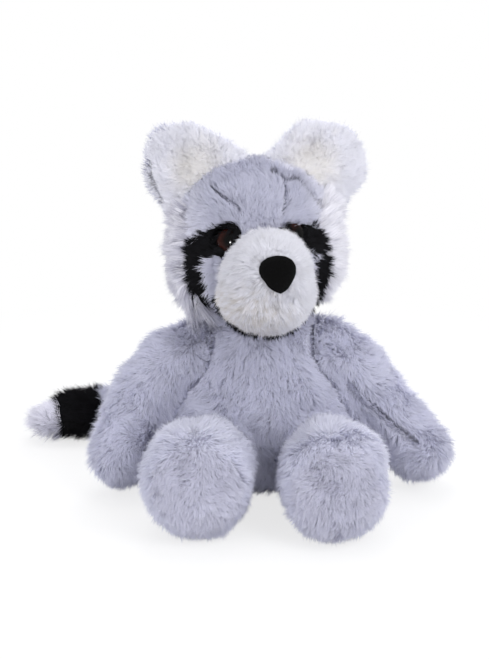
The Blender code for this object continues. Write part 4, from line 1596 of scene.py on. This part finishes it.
@dataclass
class Ears:
    """Two upright ears: grey behind, white in front with cream middles."""

    back_cut: Cut = Cut(length=0.0058, density=2.8, width=0.00038, rise=0.5, lean=1.0)
    lining_cut: Cut = Cut(
        length=0.0062,
        density=5.0,
        width=0.00036,
        rise=0.50,
        lean=0.90,
        swirl=0.5,
        stray=0.40,
        gather=0.10,
        tuft=0.0022,
    )

    def build(self, dresser: Dresser) -> list[bpy.types.Object]:
        """Dresses both ears, stuffed wider at their outer corners than at their inner ones."""
        left = (
            Nudge((-0.026, -0.012, 0.243), (-0.0020, 0.0, -0.0085), 0.018),
            Nudge((-0.071, -0.010, 0.238), (-0.0035, 0.0, 0.0085), 0.014),
            Nudge((-0.060, -0.010, 0.250), (0.0, 0.0, 0.0006), 0.016),
        )
        right = (
            Nudge((0.006, -0.003, 0.238), (0.0060, 0.0, -0.0055), 0.018),
            Nudge((0.028, -0.003, 0.249), (0.0010, 0.0, -0.0025), 0.016),
            Nudge((0.060, -0.003, 0.238), (0.0030, 0.0, 0.0030), 0.018),
            Nudge((0.063, -0.003, 0.208), (0.0030, 0.0, -0.0010), 0.014),
        )
        left_ear = self.ear(dresser, Side.LEFT, left, EAR_RIM)
        return left_ear + self.ear(dresser, Side.RIGHT, right, EAR_CREASE)

    def ear(
        self, dresser: Dresser, side: Side, nudges: tuple[Nudge, ...], seam: Seam
    ) -> list[bpy.types.Object]:
        """Dresses one ear, the pile running from the root to the rim.

        Args:
            dresser: Makes the pieces.
            side: Which ear.
            nudges: Where its stuffing is pushed.
            seam: The crease that shows in front.

        Returns:
            The skin and its piles.
        """
        low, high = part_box(f"ear_lining_{side.tag}")
        middle = (low + high) / 2
        flow = Flow((middle.x - side.value * 0.012, middle.y - 0.002, low.z + 0.004))
        nodes = (f"ear_back_{side.tag}", f"ear_lining_{side.tag}")
        back = Coat(f"ear_back_pile_{side.tag}", nodes[:1], GREY, self.back_cut, flow, 900 + side.value)
        front = Coat(
            f"ear_lining_pile_{side.tag}",
            nodes[1:],
            EAR,
            self.lining_cut,
            flow,
            950 + side.value,
            Facing.FRONT,
            (seam,),
            self.cream(middle),
        )
        return dresser.dress(
            Shell(
                f"ear_plush_{side.tag}",
                nodes,
                (back, front),
                0.0035,
                grain=0.0021,
                soften=4,
                cap=0.0,
                rounds=0,
                lumps=0.0005,
                seed=90,
                nudges=nudges,
            ),
        )

    def cream(self, middle: Vector) -> Measure:
        """The lining's shade: cream in the middle of the ear."""
        centre = np.array(middle)

        def shade(points: np.ndarray) -> np.ndarray:
            """How cream each strand is."""
            far = np.linalg.norm((points - centre)[:, [0, 2]], axis=1)
            return 0.65 * smooth_step(-0.026, -0.004, -far)

        return shade


@dataclass
class Tail:
    """The tail that lies to one side: grey, a black ring, and a pale tip."""

    cut: Cut = Cut(length=0.0095, density=2.8, rise=0.40, lean=0.95)
    root: Point = (0.0, 0.045, 0.03)

    def build(self, dresser: Dresser) -> list[bpy.types.Object]:
        """Dresses the three lengths of the tail as one form."""
        flow = Flow(self.root)
        parts = (("tail_base", GREY, 1000), ("tail_ring", BLACK, 1100), ("tail_tip", TAIL, 1200))
        coats = tuple(
            Coat(f"{node}_pile", (node,), finish, self.cut, flow, seed) for node, finish, seed in parts
        )
        rounded = (
            Nudge((-0.164, 0.084, -0.004), (0.0170, 0.0, 0.0050), 0.013),
            Nudge((-0.160, 0.085, 0.033), (0.0035, 0.0, -0.0055), 0.016),
            Nudge((-0.174, 0.085, 0.013), (-0.0065, 0.0, 0.0), 0.009),
        )
        nodes = tuple(node for node, _, _ in parts)
        return dresser.dress(Shell("tail_plush", nodes, coats, 0.0055, seed=100, nudges=rounded))


@dataclass
class Studio:
    """Camera, lamps, floor and white surround."""

    aim_side: float = -0.0117
    aim_height: float = 0.105
    distance: float = 1.3
    elevation: float = math.radians(15)
    lens: float = 106.0
    film: float = 36.0
    sky: Rgba = (0.96, 0.97, 1.0, 1.0)
    sky_strength: float = 0.66

    def build(self) -> None:
        """Sets up the studio."""
        self.camera()
        self.floor()
        self.surround()
        self.lamp("key_lamp", (0.80, -0.95, 0.95), 1.0, 11.5)
        self.lamp("fill_lamp", (-1.05, -0.95, 0.5), 1.0, 6.0)
        self.lamp("top_lamp", (0.0, 0.35, 1.3), 0.9, 5.0)
        self.lamp("back_lamp", (0.2, 1.25, 0.7), 1.0, 5.0)
        self.lamp("front_lamp", (0.02, -1.3, 0.12), 0.6, 1.3)
        self.lamp("left_spark_lamp", (0.01, -1.25, 0.10), 0.22, 28.0, True)
        self.lamp("right_spark_lamp", (0.42, -1.30, 0.69), 0.22, 28.0, True)

    def camera(self) -> None:
        """The photograph's viewpoint."""
        lens = bpy.data.cameras.new("camera")
        lens.lens = self.lens
        lens.sensor_fit = "VERTICAL"
        lens.sensor_height = self.film
        eye = bpy.data.objects.new("camera", lens)
        back, up = self.distance * math.cos(self.elevation), self.distance * math.sin(self.elevation)
        eye.location = (self.aim_side, -back, self.aim_height + up)
        eye.rotation_euler = (math.pi / 2 - self.elevation, 0.0, 0.0)
        bpy.context.scene.collection.objects.link(eye)
        bpy.context.scene.camera = eye

    def lamp(self, name: str, place: Point, size: float, watts: float, mirrored: bool = False) -> None:
        """Adds a round lamp that faces the toy.

        Args:
            name: The lamp's name.
            place: Where it stands, in metres.
            size: How wide it is, in metres.
            watts: Its power.
            mirrored: Whether it only makes the spark in the eyes. Otherwise it only lights the fur softly.
        """
        light = bpy.data.lights.new(name, "AREA")
        light.shape = "DISK"
        light.size = size
        light.energy = watts
        made = bpy.data.objects.new(name, light)
        made.location = place
        made.rotation_euler = (Vector((0, 0, 0.1)) - Vector(place)).to_track_quat("-Z", "Y").to_euler()
        made.visible_glossy = mirrored
        made.visible_diffuse = not mirrored
        bpy.context.scene.collection.objects.link(made)

    def floor(self) -> None:
        """A plain pale floor that keeps the toy's shadow and fades to white."""
        graph = Graph(bpy.data.materials.new("floor_paper"))
        seen = Value(graph, graph.node("ShaderNodeLightPath").outputs["Is Camera Ray"])
        length = graph.node("ShaderNodeVectorMath", {"operation": "LENGTH"}, {0: graph.place()})
        far = Value(graph, length.outputs["Value"])
        paper = graph.node("ShaderNodeBsdfDiffuse", None, {"Color": linear((247, 247, 248))})
        glow = graph.node("ShaderNodeEmission", None, {"Color": PURE_WHITE, "Strength": 1.0})
        white = seen * (0.74 + far.eased(0.20, 0.50) * 0.26)
        mesh = bpy.data.meshes.new("floor")
        shape = bmesh.new()
        bmesh.ops.create_grid(shape, x_segments=8, y_segments=8, size=3.0)
        shape.to_mesh(mesh)
        shape.free()
        mesh.materials.append(graph.close(graph.mixed(white, paper.outputs[0], glow.outputs[0])))
        placed("floor", mesh)

    def surround(self) -> None:
        """Soft light all round, and white behind the toy."""
        graph = Graph(bpy.data.worlds.new("surround"))
        path = graph.node("ShaderNodeLightPath").outputs
        seen = Value(
            graph, path["Is Camera Ray"]
        ).larger(path["Is Glossy Ray"]).larger(path["Is Transmission Ray"])
        soft = graph.node(
            "ShaderNodeBackground", None, {"Color": self.sky, "Strength": self.sky_strength}
        )
        white = graph.node("ShaderNodeBackground", None, {"Color": PURE_WHITE, "Strength": 1.0})
        shown = graph.mixed(seen, soft.outputs[0], white.outputs[0])
        graph.node("ShaderNodeOutputWorld", None, {"Surface": shown})
        bpy.context.scene.world = graph.holder
        bpy.context.scene.view_settings.view_transform = "Standard"


def clear_start() -> None:
    """Removes what Blender opens with."""
    for name in ("Cube", "Light", "Camera"):
        found = bpy.data.objects.get(name)
        if found:
            bpy.data.objects.remove(found)


def main() -> None:
    """Builds the toy from the torso out and reports each piece, then sets up the studio."""
    logging.basicConfig(level=logging.INFO, format="%(message)s")
    clear_start()
    dresser = Dresser(Patterns(frame["nodes"]))
    head = Head()
    for part in (Torso(), Limbs(), head, Face(head), Ears(), Tail()):
        for piece in part.build(dresser):
            LOG.info("%s: %d faces", piece.name, len(piece.data.polygons))
    Studio().build()


if __name__ == "__main__":
    main()
